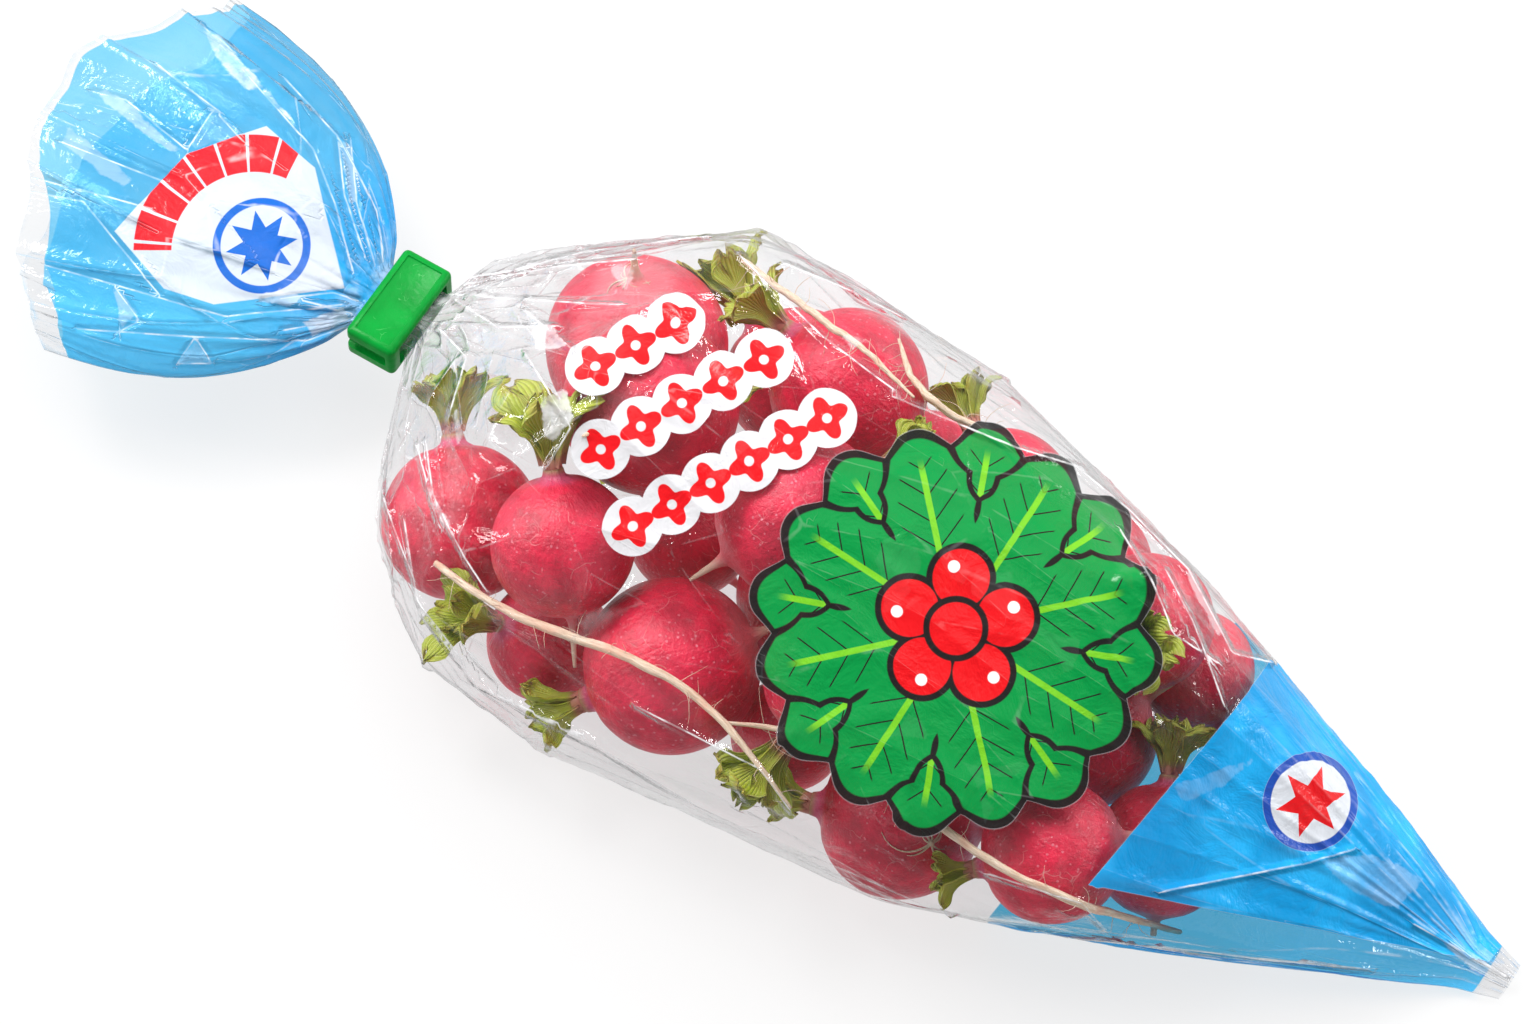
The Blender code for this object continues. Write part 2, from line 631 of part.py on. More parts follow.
def make_clip():
    """The clip: a moulded loop round the neck, with a tray-like face and a slotted end."""
    half = np.array(CLIP_SIZE) / 2.0
    middle = np.array((0.0, 0.0, NECK_HEIGHT))
    clip = block("neck_clip", middle - half, middle + half)
    round_edges(clip, CLIP_EDGE, 2)
    hole = np.array((half[0] + 1.0, CLIP_HOLE[0] / 2.0, CLIP_HOLE[1] / 2.0))
    cut(clip, middle - hole, middle + hole, CLIP_INNER_EDGE)
    tray = half[:2] - CLIP_TRAY_BORDER
    top = NECK_HEIGHT + half[2]
    cut(clip, (-tray[0], -tray[1], top - CLIP_TRAY_DEPTH), (tray[0], tray[1], top + 2.0), CLIP_TRAY_EDGE)
    length, deep, tall = CLIP_SLOT
    cut(clip, (-half[0] - 1.0, -half[1] - 1.0, NECK_HEIGHT - tall / 2.0),
        (-half[0] + length, -half[1] + deep, NECK_HEIGHT + tall / 2.0), CLIP_INNER_EDGE)
    clip.data.materials.clear()
    clip.data.materials.append(make_material("neck_clip", CLIP_GREEN))


def make_radishes():
    """Every radish, leaf stub and long taproot; gives their points and those that the film rounds."""
    random = np.random.default_rng(11)
    names = list(RADISHES)
    radii = np.array([RADISHES[name][3] / 2.0 for name in names])
    in_sight = np.array([RADISHES[name][6] for name in names])
    places = np.array([seen_at(*RADISHES[name][:3]) for name in names])
    places = settle(places, radii, in_sight)
    taken = np.zeros((0, 3))
    crowns = []
    for index, name in enumerate(names):
        rest = np.arange(len(names)) != index
        wish = heading(*RADISHES[name][4])
        crown = crown_direction(places[index], radii[index], wish, RADISHES[name][5], places[rest],
                                radii[rest], taken, in_sight[index])
        crowns.append(crown)
        taken = np.vstack((taken, places[index] + crown * (radii[index] + np.array(STUB_REACH))[:, None]))
    guides, inside, obstacles = [], [], []
    directions = spread_directions(160)
    for index, name in enumerate(names):
        rest = np.arange(len(names)) != index
        stub_balls = taken.reshape(-1, 2, 3)[rest].reshape(-1, 3)
        balls = np.vstack((places[rest], stub_balls))
        ball_radii = np.concatenate((radii[rest], np.full(len(stub_balls), STUB_HALF)))
        length = 1.0 if name in TAPROOTS else random.uniform(*TAIL_LENGTHS)
        tail = tail_for(places[index], radii[index], crowns[index], length, balls, ball_radii)
        make_radish(f"radish_{name}", places[index], radii[index], crowns[index], tail)
        guides += [places[index] + directions * (radii[index] + FILM_CLEARANCE), grow(tail)]
        inside += [places[index] + directions * radii[index], tail]
        obstacles.append(smooth_course(tail, 6))
    tails = sum(len(points) for points in obstacles)
    for index, name in enumerate(names):
        rest = np.arange(len(names)) != index
        balls = np.vstack([places[rest]] + obstacles)
        ball_radii = np.full(len(balls), STUB_SPACING)
        ball_radii[:rest.sum()] = radii[rest]
        ball_radii[rest.sum():rest.sum() + tails] = TAIL_SPACING
        points = make_stub(f"leaf_stubs_{name}", places[index], radii[index], crowns[index],
                           RADISHES[name][5], balls, ball_radii, random)
        obstacles.append(points)
        guides.append(grow(points))
        inside.append(points)
    balls = np.vstack([places] + obstacles)
    ball_radii = np.full(len(balls), STUB_SPACING)
    ball_radii[:len(radii)] = radii
    for name, (thickness, course) in TAPROOTS.items():
        path = drape(course, thickness, balls, ball_radii)
        make_taproot(f"taproot_{name}", path, thickness)
        guides.append(grow(path))
        inside.append((path[:, None] + spread_directions(6)[None] * thickness / 2.0).reshape(-1, 3))
    return np.vstack(inside), np.vstack(guides)


def grow(points):
    """Room for the film round loose points."""
    return (points[:, None, :] + spread_directions(8)[None] * FILM_CLEARANCE).reshape(-1, 3)


def centre_in_plan():
    """Put the middle of everything's box at the origin in plan."""
    corners = np.array([thing.matrix_world @ vertex.co for thing in bpy.data.objects
                        for vertex in thing.data.vertices])
    middle = (corners.min(axis=0) + corners.max(axis=0)) / 2.0
    for thing in bpy.data.objects:
        thing.location.x -= middle[0]
        thing.location.y -= middle[1]


def main():
    for thing in list(bpy.data.objects):
        bpy.data.objects.remove(thing)
    contents, guides = make_radishes()
    folds = np.array([seen_at(*point) for point in LOWER_FOLD + UPPER_FOLD])
    ends = np.vstack((oval(NECK_REACH, (0.0, NECK_HEIGHT), NECK_HALF),
                      oval(SEAL_START, SEAL_MIDDLE, SEAL_HALF)))
    make_film(contents, np.vstack((guides, folds, ends)))
    make_clip()
    centre_in_plan()


main()
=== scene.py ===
"""A cone-shaped film bag of trimmed red radishes, its gathered neck closed by a moulded clip.

Shapes are worked out in the bag's own millimetres: x runs from the middle of the clip to the
bag's tip, y across it, z up from the surface that it lies on.
"""
import json
import math
from functools import reduce

import bmesh
import bpy
import numpy as np
from bpy.props import FloatProperty, FloatVectorProperty, IntProperty, PointerProperty
from mathutils import Matrix, Vector

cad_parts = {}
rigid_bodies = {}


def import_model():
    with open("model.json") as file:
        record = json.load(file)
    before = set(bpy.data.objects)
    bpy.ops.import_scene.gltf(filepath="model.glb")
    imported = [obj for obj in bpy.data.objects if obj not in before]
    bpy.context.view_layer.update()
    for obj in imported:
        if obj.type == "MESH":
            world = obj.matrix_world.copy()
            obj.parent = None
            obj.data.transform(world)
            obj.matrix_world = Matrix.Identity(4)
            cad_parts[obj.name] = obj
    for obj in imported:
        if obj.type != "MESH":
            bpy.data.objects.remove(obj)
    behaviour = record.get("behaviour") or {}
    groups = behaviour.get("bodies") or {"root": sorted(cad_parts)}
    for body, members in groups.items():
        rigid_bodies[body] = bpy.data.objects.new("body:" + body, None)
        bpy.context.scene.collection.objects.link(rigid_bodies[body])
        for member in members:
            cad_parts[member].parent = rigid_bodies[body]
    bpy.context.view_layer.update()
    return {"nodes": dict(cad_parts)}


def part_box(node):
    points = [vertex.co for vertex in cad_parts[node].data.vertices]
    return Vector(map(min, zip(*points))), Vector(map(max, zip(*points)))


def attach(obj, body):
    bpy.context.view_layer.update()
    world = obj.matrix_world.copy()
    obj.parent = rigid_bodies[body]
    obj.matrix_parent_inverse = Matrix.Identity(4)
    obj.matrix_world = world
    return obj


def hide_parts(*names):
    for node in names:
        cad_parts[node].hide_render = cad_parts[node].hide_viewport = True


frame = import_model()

bl_info = {
    "name": "Bag of radishes",
    "version": (1, 0, 0),
    "blender": (4, 5, 0),
    "location": "View3D > Sidebar > Radishes",
    "description": "Makes a film bag of radishes round its packed solids",
    "category": "Add Mesh",
}

MM = 0.001
ROUND = 2.0 * math.pi
WHITE = (1.0, 1.0, 1.0)
LETTERS = "ABCDEFGHIJKLMNOPQRSTUVWXY"

# The clip's middle, and the view that the bag was laid out for
NECK_HEIGHT = 23.0
NECK_MIDDLE = np.array((0.0, 0.0, NECK_HEIGHT))
VIEW_AZIMUTH = math.radians(32.0)
VIEW_RISE = math.radians(62.0)
VIEW_CENTRE = (65.4, -35.6)
VIEW_WIDTH = 270.9

# A globe in its own radii: its knob's top, and the rim of that knob
KNOB = 1.12
KNOB_RIM = math.hypot(1.12, 0.14)

# Long roots and how thick each is, and root scars, right and up in the view
ROOT_WIDTHS = {"C": 1.25, "D": 1.6, "K": 1.45, "L": 1.35}
SCARS = {"I": (93.5, -92.6), "A": (40.6, 5.2)}

# Neck, sealed end and tip of the bag, and the film's room round what it holds
NECK_HALF = (7.2, 2.3)
NECK_REACH = 6.0
SEAL_X = 221.0
SEAL_HEIGHT = 1.9
SEAL_HALF = (6.0, 1.7)
TIP_X = 229.0
TIP_HALF = (3.5, 1.0)
BODY_MIDDLES = ((0, 23), (40, 27), (110, 25), (200, 8), (221, 1.9), (229, 1.4))
AIM_WIDTH = 1.25
FILM_GAP = 0.3
LOWEST = 0.04

# Side folds of the flat film where they stand clear of the radishes: right, up, height
LOWER_FOLD = ((-2.1, -21.2, 16), (-3.0, -30.0, 10), (-0.4, -44.1, 5), (9.3, -57.3, 3), (19.9, -68.8, 3),
              (35.8, -76.7, 3), (53.4, -84.7, 3), (71.1, -96.1, 3), (88.7, -104.1, 3),
              (111.6, -108.5, 3), (141.6, -112.9, 3), (176.9, -117.3, 3))
UPPER_FOLD = ((14.6, 8.0, 28), (28.7, 10.5, 30), (53.4, 12.2, 32), (79.9, 5.2, 32), (93.1, -5.2, 30),
              (115.2, -22.0, 28), (134.6, -41.4, 24), (152.2, -62.2, 18), (176.9, -89.6, 9))

# Tension folds: how many, where they start, lengths, drift, half widths, heights, which way
FOLD_SETS = ((46, (4.0, 26.0), (18.0, 85.0), 0.16, (0.9, 2.2), (0.35, 1.0), 1.0),
             (70, (30.0, 195.0), (14.0, 55.0), 0.45, (0.9, 1.8), (0.18, 0.5), 1.0),
             (26, (212.0, 226.0), (20.0, 70.0), 0.1, (1.0, 2.4), (0.3, 0.8), -1.0))

# Collar past the clip
COLLAR_GRID = (110, 360)
COLLAR_REACH = 72.0
COLLAR_CORNER_CUT = 21.0
COLLAR_HALF = (37.5, 15.0)
COLLAR_SIDE_SHIFT = -1.0
COLLAR_FLARE = 2.7
IN_CLIP = 0.11

# Clip: along the bag, across it, thickness
CLIP_SIZE = (10.0, 20.0, 8.2)
CLIP_HOLE = (15.4, 5.6)

# Creases of the film's upper layer, raised in the mesh and drawn white along their lines as whitened film
# with painted highlights, and flat facets painted white as painted reflections, each with how white it is
# painted, right and up in the view
BODY_CREASES = (
    ((6.0, -23.3), (7.6, -32.8), (13.4, -43.7), (16.9, -49.2)),
    ((4.4, -24.2), (8.8, -38.3)),
    ((-2.3, -31.2), (0.2, -38.3), (4.1, -46.9)),
    ((8.8, 3.0), (24.5, 1.4), (33.9, 0.5), (40.0, 0.2)),
    ((9.5, 5.6), (21.3, 7.2), (33.9, 10.1), (55.0, 12.7)),
    ((22.9, -0.5), (31.6, -7.6)),
    ((23.6, -8.5), (31.6, -21.0), (27.5, -28.0)),
    ((13.4, -59.4), (22.9, -69.5), (37.0, -76.5), (56.6, -88.4), (72.3, -95.4)),
    ((5.6, -53.1), (15.0, -65.6), (29.1, -72.7)),
    ((60.5, 8.8), (74.6, -5.3), (88.0, -15.5)),
    ((68.3, 7.2), (80.1, 2.5), (88.7, -1.8)),
    ((86.9, -15.9), (108.1, -24.7), (119.6, -28.2)),
    ((118.7, -28.2), (127.5, -35.3), (138.1, -45.9)),
    ((138.1, -46.2), (145.1, -60.0), (152.2, -61.7)),
    ((133.7, -45.9), (138.1, -54.7), (143.4, -68.8)),
    ((125.7, -38.8), (131.0, -47.6), (134.6, -56.4), (142.5, -61.7)),
    ((132.8, -100.5), (157.5, -96.1), (166.3, -93.8)),
    ((177.2, -106.9), (193.7, -116.4)),
    ((102.8, -97.0), (118.7, -102.3), (123.1, -106.7)),
    ((84.3, -102.3), (108.1, -107.9), (139.9, -111.1), (169.8, -114.6)),
    ((7.6, -3.5), (12.9, -8.8), (10.2, -19.4)),
    ((10.2, 1.8), (18.2, -3.5), (28.7, -3.5)),
    ((9.3, 4.4), (28.7, 7.4), (42.9, 8.5)),
    ((18.2, -67.0), (35.8, -75.0)),
    ((42.9, -68.8), (64.0, -79.4), (69.3, -86.4)),
    ((2.3, -37.0), (4.9, -51.1), (12.9, -61.7)),
)
COLLAR_CREASES = (
    ((-37.9, 28.6), (-48.9, 37.7), (-54.9, 39.2)),
    ((-37.9, 28.6), (-33.3, 36.0), (-27.7, 30.0)),
    ((-65.8, 21.2), (-55.9, 19.4), (-42.2, 2.8)),
    ((-62.3, 8.1), (-48.9, 4.2), (-30.5, -1.1), (-10.1, 1.1)),
    ((-56.6, -3.2), (-36.2, -4.6), (-16.4, -5.3), (-8.6, -2.5)),
    ((-36.2, 51.9), (-24.9, 39.2), (-15.7, 28.9)),
    ((-21.3, 42.0), (-11.5, 31.4), (-4.4, 18.0), (-3.0, 8.8)),
    ((-11.5, 31.4), (-10.1, 20.8), (-6.2, 9.5)),
    ((-9.3, 30.7), (-7.9, 19.4), (-4.4, 8.1)),
    ((-60.1, 30.0), (-41.8, 22.9)),
    ((-64.7, 23.6), (-43.9, 18.0)),
    ((-49.9, 3.9), (-45.7, -1.8), (-49.6, -3.9)),
    ((-35.8, -4.6), (-39.0, -9.2), (-33.0, -9.2), (-35.8, -4.6)),
    ((-15.7, 28.9), (-11.8, 19.4), (-8.3, 7.1)),
    ((-43.6, 44.1), (-32.1, 35.3)),
    ((-17.1, 1.8), (-8.3, -0.4)),
    ((-20.6, -3.5), (-8.3, -1.1)),
    ((-23.8, 1.8), (-11.8, 3.2), (-7.2, 1.8)),
)
# Flat facets of the body film painted white: painted reflections, not geometry
BODY_GLARE_FACETS = (
    (((22.6, 0.0), (26.1, -0.7), (30.9, -7.1), (25.2, -7.4)), 0.55),
    (((26.1, -15.9), (30.9, -14.1), (31.9, -19.4), (28.7, -23.8), (26.6, -22.9)), 0.6),
    (((134.2, -82.0), (148.7, -78.0), (143.4, -82.9), (136.3, -85.5)), 0.12),
    (((159.3, -95.2), (169.8, -94.7), (179.5, -99.1), (174.3, -104.1), (166.3, -101.4)), 0.17),
    (((177.2, -106.7), (193.5, -116.0), (191.0, -117.3)), 0.45),
    (((10.2, -12.3), (12.9, -22.9), (11.5, -24.7)), 0.4),
    (((37.6, 7.4), (42.9, 7.1), (40.7, 1.8)), 0.35),
    (((77.2, -3.9), (83.4, -6.2), (79.9, -7.4)), 0.35),
    (((137.2, -45.9), (139.2, -46.2), (143.7, -56.4), (142.3, -56.8)), 0.4),
    (((6.9, -33.5), (8.3, -33.5), (13.9, -44.1), (12.5, -44.1)), 0.5),
)
# Flat facets of the collar film painted white: painted reflections, not geometry
COLLAR_GLARE_FACETS = (
    (((-36.5, 51.5), (-32.6, 50.1), (-23.8, 39.9), (-27.7, 39.5), (-33.3, 45.5)), 0.75),
    (((-27.7, 39.9), (-23.5, 39.9), (-18.9, 33.9), (-15.7, 28.9), (-17.1, 28.6), (-23.8, 37.0)), 0.8),
    (((-55.2, 39.2), (-52.7, 40.6), (-39.0, 28.6), (-40.4, 27.9)), 0.5),
    (((-37.9, 28.6), (-33.3, 36.0), (-28.0, 31.0)), 0.16),
    (((-50.3, 3.9), (-45.7, -0.4), (-48.9, -3.2)), 0.45),
    (((-35.8, -4.6), (-39.0, -9.2), (-32.6, -9.2)), 0.35),
    (((-17.1, -2.1), (-10.1, 0.7), (-9.0, -1.4), (-15.3, -4.6)), 0.75),
    (((-11.8, 31.4), (-9.0, 30.0), (-7.6, 19.4), (-9.3, 19.4)), 0.4),
    (((-23.8, 3.5), (-17.1, 2.5), (-18.9, 1.1), (-24.9, 1.8)), 0.6),
    (((-63.0, 22.9), (-55.9, 21.2), (-57.7, 18.7)), 0.45),
    (((-60.3, 30.0), (-59.1, 33.5), (-47.1, 23.3), (-48.9, 22.2)), 0.35),
)

# Prints: middle, blossoms and their pitch in each band, and corners of the blue and white fields
BANDS = (((42.6, -6.9), 3, 7.8), ((50.7, -17.1), 5, 8.0), ((58.9, -28.8), 6, 7.6))
BAND_TURN = 29.0
TIP_CORNERS = [(120.1, -99.1), (197.0, -115.2), (215.0, -100.0), (152.2, -61.4)]
PANEL_CORNERS = [(-15.3, 25.7), (-24.0, 33.2), (-37.9, 28.0), (-50.3, 14.1), (-41.4, 3.9), (-32.6, 1.1),
                 (-9.7, 4.1)]

# Colours of the film and its fixed inks
CLEAR = (0.958, 0.958, 0.962)
BLUE_TINT = (0.13, 0.66, 0.97)
COLLAR_TINT = (0.40, 0.78, 0.96)
# Grey that the clear film takes at grazing angles: painted shade for the dim surroundings that its edges
# mirror
GRAZING_SHADE_TINT = (0.86, 0.86, 0.87)
BAND_WHITE = (0.61, 0.61, 0.63)
FIELD_WHITE = (0.64, 0.67, 0.72)
NAVY = (0.005, 0.11, 0.50)

clip_low, clip_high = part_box("neck_clip")
OFFSET = np.array((clip_low + clip_high) / 2.0) / MM - NECK_MIDDLE


def view_axes():
    """Unit vectors of the view: to its right, up in it, and back towards the eye."""
    ca, sa = math.cos(VIEW_AZIMUTH), math.sin(VIEW_AZIMUTH)
    ce, se = math.cos(VIEW_RISE), math.sin(VIEW_RISE)
    return np.array(((ca, sa, 0.0), (-sa * se, ca * se, ce), (sa * ce, -ca * ce, se)))


RIGHT, UP, BACK = view_axes()


def seen_at(right, up, height):
    """The point at this height that shows right and up from the clip's middle in the view."""
    point = right * RIGHT + up * UP
    return point + BACK * (height - NECK_HEIGHT - point[2]) / BACK[2] + NECK_MIDDLE


def in_view(points):
    """Right and up of points in the view."""
    level = points - NECK_MIDDLE
    return level @ RIGHT, level @ UP


# Settings


def a_colour(name, description, default):
    return FloatVectorProperty(name=name, description=description, subtype="COLOR", default=default)


def a_length(name, description, default, least=0.0):
    return FloatProperty(name=name, description=description, default=default, min=least, unit="LENGTH")


def a_power(name, description, default):
    return FloatProperty(name=name, description=description, default=default, unit="POWER")


class HeapSettings(bpy.types.PropertyGroup):
    columns: IntProperty(name="Columns", description="Faces round each globe", default=64, min=16)
    unevenness: FloatProperty(name="Unevenness", description="How far a globe strays from round",
                              default=0.012, min=0.0, max=0.05)
    stalks: IntProperty(name="Stalks", description="Cut leaf stalks in a tuft", default=9, min=3)
    stalk_wall: a_length("Stalk wall", "Thickness of a stalk", 0.0006, 0.0002)
    skin: a_colour("Skin", "Colour of the radish skin", (0.87, 0.013, 0.066))
    leaf: a_colour("Leaf", "Colour of the cut stalks", (0.37, 0.44, 0.022))
    root: a_colour("Root", "Colour of the long roots", (0.80, 0.56, 0.38))


class FilmSettings(bpy.types.PropertyGroup):
    rows: IntProperty(name="Rows", description="Rings of faces along the bag", default=300, min=40)
    columns: IntProperty(name="Columns", description="Faces round the bag", default=300, min=36)
    sag: FloatProperty(name="Sag", description="How far the film sinks between radishes, 1 being all the way",
                       default=0.35, min=0.0, max=1.0)
    crease: a_length("Crease", "Height of the creases", 0.0009)
    blue: a_colour("Blue ink", "Ink of the tip and the collar", (0.001, 0.31, 0.70))
    red: a_colour("Red ink", "Ink of the bands and the rosette's heart", (0.68, 0.006, 0.010))
    green: a_colour("Green ink", "Ink of the rosette's petals", (0.0, 0.25, 0.048))
    dark: a_colour("Dark ink", "Ink of the outlines", (0.012, 0.012, 0.012))


class ClipSettings(bpy.types.PropertyGroup):
    edge: a_length("Edge", "Rounding of the clip's edges", 0.0011)
    colour: a_colour("Colour", "Colour of the plastic", (0.0, 0.245, 0.026))


class StageSettings(bpy.types.PropertyGroup):
    floor_size: a_length("Floor size", "Width of the floor", 6.0)
    eye_distance: a_length("Eye distance", "From the camera to the bag", 1.7)
    key: a_power("Key light", "Power of the large soft light", 11.5)
    glint: a_power("Glint lights", "Power of the small lights that show in the gloss", 2.4)
    floor: a_colour("Floor", "Colour of the floor", (0.14, 0.14, 0.14))


# Reading the solids


def mesh_points(thing):
    """A mesh's points, in the bag's millimetres."""
    points = np.empty(len(thing.data.vertices) * 3)
    thing.data.vertices.foreach_get("co", points)
    return points.reshape(-1, 3) / MM - OFFSET


def node_points(name):
    """A solid's corner points, each once."""
    return np.unique(np.round(mesh_points(frame["nodes"][name]), 3), axis=0)


def piece_points(prefix, step):
    """Points of the pieces whose names start so, one in each step."""
    return np.vstack([mesh_points(thing)[::step] for thing in bpy.data.objects
                      if thing.name.startswith(prefix)])


def best_ball(points, random):
    """Centre and radius of the ball that the most points lie on."""
    best = (0, None, None)
    for _ in range(500):
        chosen = points[random.choice(len(points), 4, replace=False)]
        sums = np.hstack((2.0 * chosen, np.ones((4, 1))))
        if abs(np.linalg.det(sums)) < 1e-3:
            continue
        solved = np.linalg.solve(sums, (chosen ** 2).sum(axis=1))
        centre = solved[:3]
        radius = math.sqrt(max(solved[3] + centre @ centre, 1e-9))
        near = (np.abs(np.linalg.norm(points - centre, axis=1) - radius) < 0.03).sum()
        if near > best[0] and 5.0 < radius < 25.0:
            best = (near, centre, radius)
    return best[1], best[2]


def read_globe(letter):
    """A globe's centre, radius and crown direction, and the middle line of its tail."""
    points = node_points(f"radish_{letter}")
    centre, radius = best_ball(points, np.random.default_rng(3))
    away = points - centre
    far = np.linalg.norm(away, axis=1)
    rim = away[np.abs(far / radius - KNOB_RIM) < 0.004]
    crown = rim[np.argmax(((rim @ rim.T) > 0).sum(axis=1))]
    crown = rim[rim @ crown > 0].mean(axis=0)
    crown /= np.linalg.norm(crown)
    beyond = (far > 1.015 * radius) & (away @ crown < 0.0)
    tail = points[beyond][np.argsort(far[beyond])]
    path = np.array([tail[:10].mean(axis=0), tail[10:20].mean(axis=0), tail[20:].mean(axis=0)])
    return {"centre": centre, "radius": radius, "crown": crown, "tail": path}


GLOBES = {letter: read_globe(letter) for letter in LETTERS}
CENTRES = np.array([globe["centre"] for globe in GLOBES.values()])
RADII = np.array([globe["radius"] for globe in GLOBES.values()])


def read_path(name, gap=1.9):
    """The middle line of a long root's solid, from its thicker end."""
    points = node_points(name)
    middles = []
    while len(points):
        near = np.linalg.norm(points - points[0], axis=1) < gap
        for _ in range(3):
            near = np.linalg.norm(points - points[near].mean(axis=0), axis=1) < gap * 0.75
        middles.append(points[near].mean(axis=0))
        points = points[~near]
    middles = np.array(middles)
    order = [np.argmax(np.linalg.norm(middles - middles.mean(axis=0), axis=1))]
    left = set(range(len(middles))) - set(order)
    while left:
        here = middles[order[-1]]
        order.append(min(left, key=lambda index: np.linalg.norm(middles[index] - here)))
        left.remove(order[-1])
    return middles[order]


# Shapes


def square_axes(axis):
    """Two unit vectors square to an axis."""
    side = np.cross(axis, (0.0, 0.0, 1.0) if abs(axis[2]) < 0.9 else (1.0, 0.0, 0.0))
    side /= np.linalg.norm(side)
    return side, np.cross(axis, side)


def smooth_course(points, count):
    """Even points on a smooth curve through a few."""
    points = np.asarray(points, dtype=float)
    for _ in range(2):
        quarters = (points[:-1] * 0.75 + points[1:] * 0.25, points[:-1] * 0.25 + points[1:] * 0.75)
        between = np.stack(quarters, axis=1).reshape(-1, points.shape[1])
        points = np.vstack((points[:1], between, points[-1:]))
    steps = np.linalg.norm(np.diff(points[:, :3], axis=0), axis=1)
    lengths = np.concatenate(((0.0,), np.cumsum(steps)))
    even = np.linspace(0.0, lengths[-1], count)
    return np.stack([np.interp(even, lengths, column) for column in points.T], axis=1)


def smoothstep(low, high, value):
    """0 to 1, smoothly, as a value goes from low to high."""
    share = np.clip((value - low) / (high - low), 0.0, 1.0)
    return share * share * (3.0 - 2.0 * share)


def clear_of(points, radii):
    """Move points out of balls about the globes' centres."""
    for _ in range(3):
        for centre, radius in zip(CENTRES, radii):
            away = points - centre
            distance = np.linalg.norm(away, axis=1)
            inside = distance < radius
            away[inside] *= (radius / np.maximum(distance[inside], 1e-6))[:, None]
            points = np.where(inside[:, None], centre + away, points)
    return points


class MeshParts:
    """Points, faces and per-point values gathered for one mesh."""

    def __init__(self):
        self.points, self.faces, self.values, self.count = [], [], {}, 0

    def add(self, points, faces, **values):
        """Take in points, faces between them and a value or vector for each point."""
        self.points.append(points)
        self.faces += [tuple(int(corner) + self.count for corner in face) for face in faces]
        for key, value in values.items():
            self.values.setdefault(key, []).append(np.asarray(value, dtype=float))
        self.count += len(points)

    def build(self, name, material, replaced=(), lowest=LOWEST):
        """The finished object, riding on the frame."""
        mesh = bpy.data.meshes.new(name)
        points = np.vstack(self.points)
        points[:, 2] = np.maximum(points[:, 2], lowest)
        mesh.from_pydata((points + OFFSET) * MM, [], self.faces)
        for key, parts in self.values.items():
            joined = np.concatenate(parts)
            kind, field = ("FLOAT_VECTOR", "vector") if joined.ndim == 2 else ("FLOAT", "value")
            mesh.attributes.new(key, kind, "POINT").data.foreach_set(field, joined.ravel())
        mesh.validate()
        mesh.shade_smooth()
        mesh.materials.append(material)
        thing = bpy.data.objects.new(name, mesh)
        bpy.context.scene.collection.objects.link(thing)
        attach(thing, "root")
        if replaced:
            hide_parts(*replaced)
        return thing


def ring_faces(rings, columns, closed=True):
    """Quads between rings of points, each ring after the last."""
    faces = []
    for low in range(0, (rings - 1) * columns, columns):
        for column in range(columns if closed else columns - 1):
            after = (column + 1) % columns
            faces.append((low + column, low + after, low + columns + after, low + columns + column))
    return faces


def turns_round(columns):
    """Even angles round a ring."""
    return np.arange(columns) * ROUND / columns


def tube(parts, path, widths, columns=6, **values):
    """A closed tapering tube along a path, with frames that don't twist."""
    tangent = np.gradient(path, axis=0)
    tangent /= np.linalg.norm(tangent, axis=1)[:, None]
    side, _ = square_axes(tangent[0])
    turns = turns_round(columns)
    points = []
    for middle, along, width in zip(path, tangent, widths):
        side = side - along * (side @ along)
        side /= np.linalg.norm(side)
        square = np.cross(along, side)
        out = side * np.cos(turns)[:, None] + square * np.sin(turns)[:, None]
        points.append(middle + out * np.broadcast_to(width, columns)[:, None])
    count = len(path)
    faces = ring_faces(count, columns)
    faces += [tuple(reversed(range(columns))), tuple(range((count - 1) * columns, count * columns))]
    given = {}
    for key, value in values.items():
        value = np.asarray(value, dtype=float)
        value = value[:, None] if value.ndim == 1 else value
        given[key] = np.broadcast_to(value, (count, columns)).ravel()
    parts.add(np.vstack(points), faces, **given)


# Node helpers


class Wire:
    """A value in a node tree. Arithmetic on it adds the Math nodes that it needs."""

    def __init__(self, tree, socket):
        self.tree, self.socket = tree, socket

    def __add__(self, other):
        return self.tree.math("ADD", self, other)

    def __sub__(self, other):
        return self.tree.math("SUBTRACT", self, other)

    def __rsub__(self, other):
        return self.tree.math("SUBTRACT", other, self)

    def __mul__(self, other):
        return self.tree.math("MULTIPLY", self, other)

    def __truediv__(self, other):
        return self.tree.math("DIVIDE", self, other)

    def __rtruediv__(self, other):
        return self.tree.math("DIVIDE", other, self)

    def __abs__(self):
        return self.tree.math("ABSOLUTE", self)


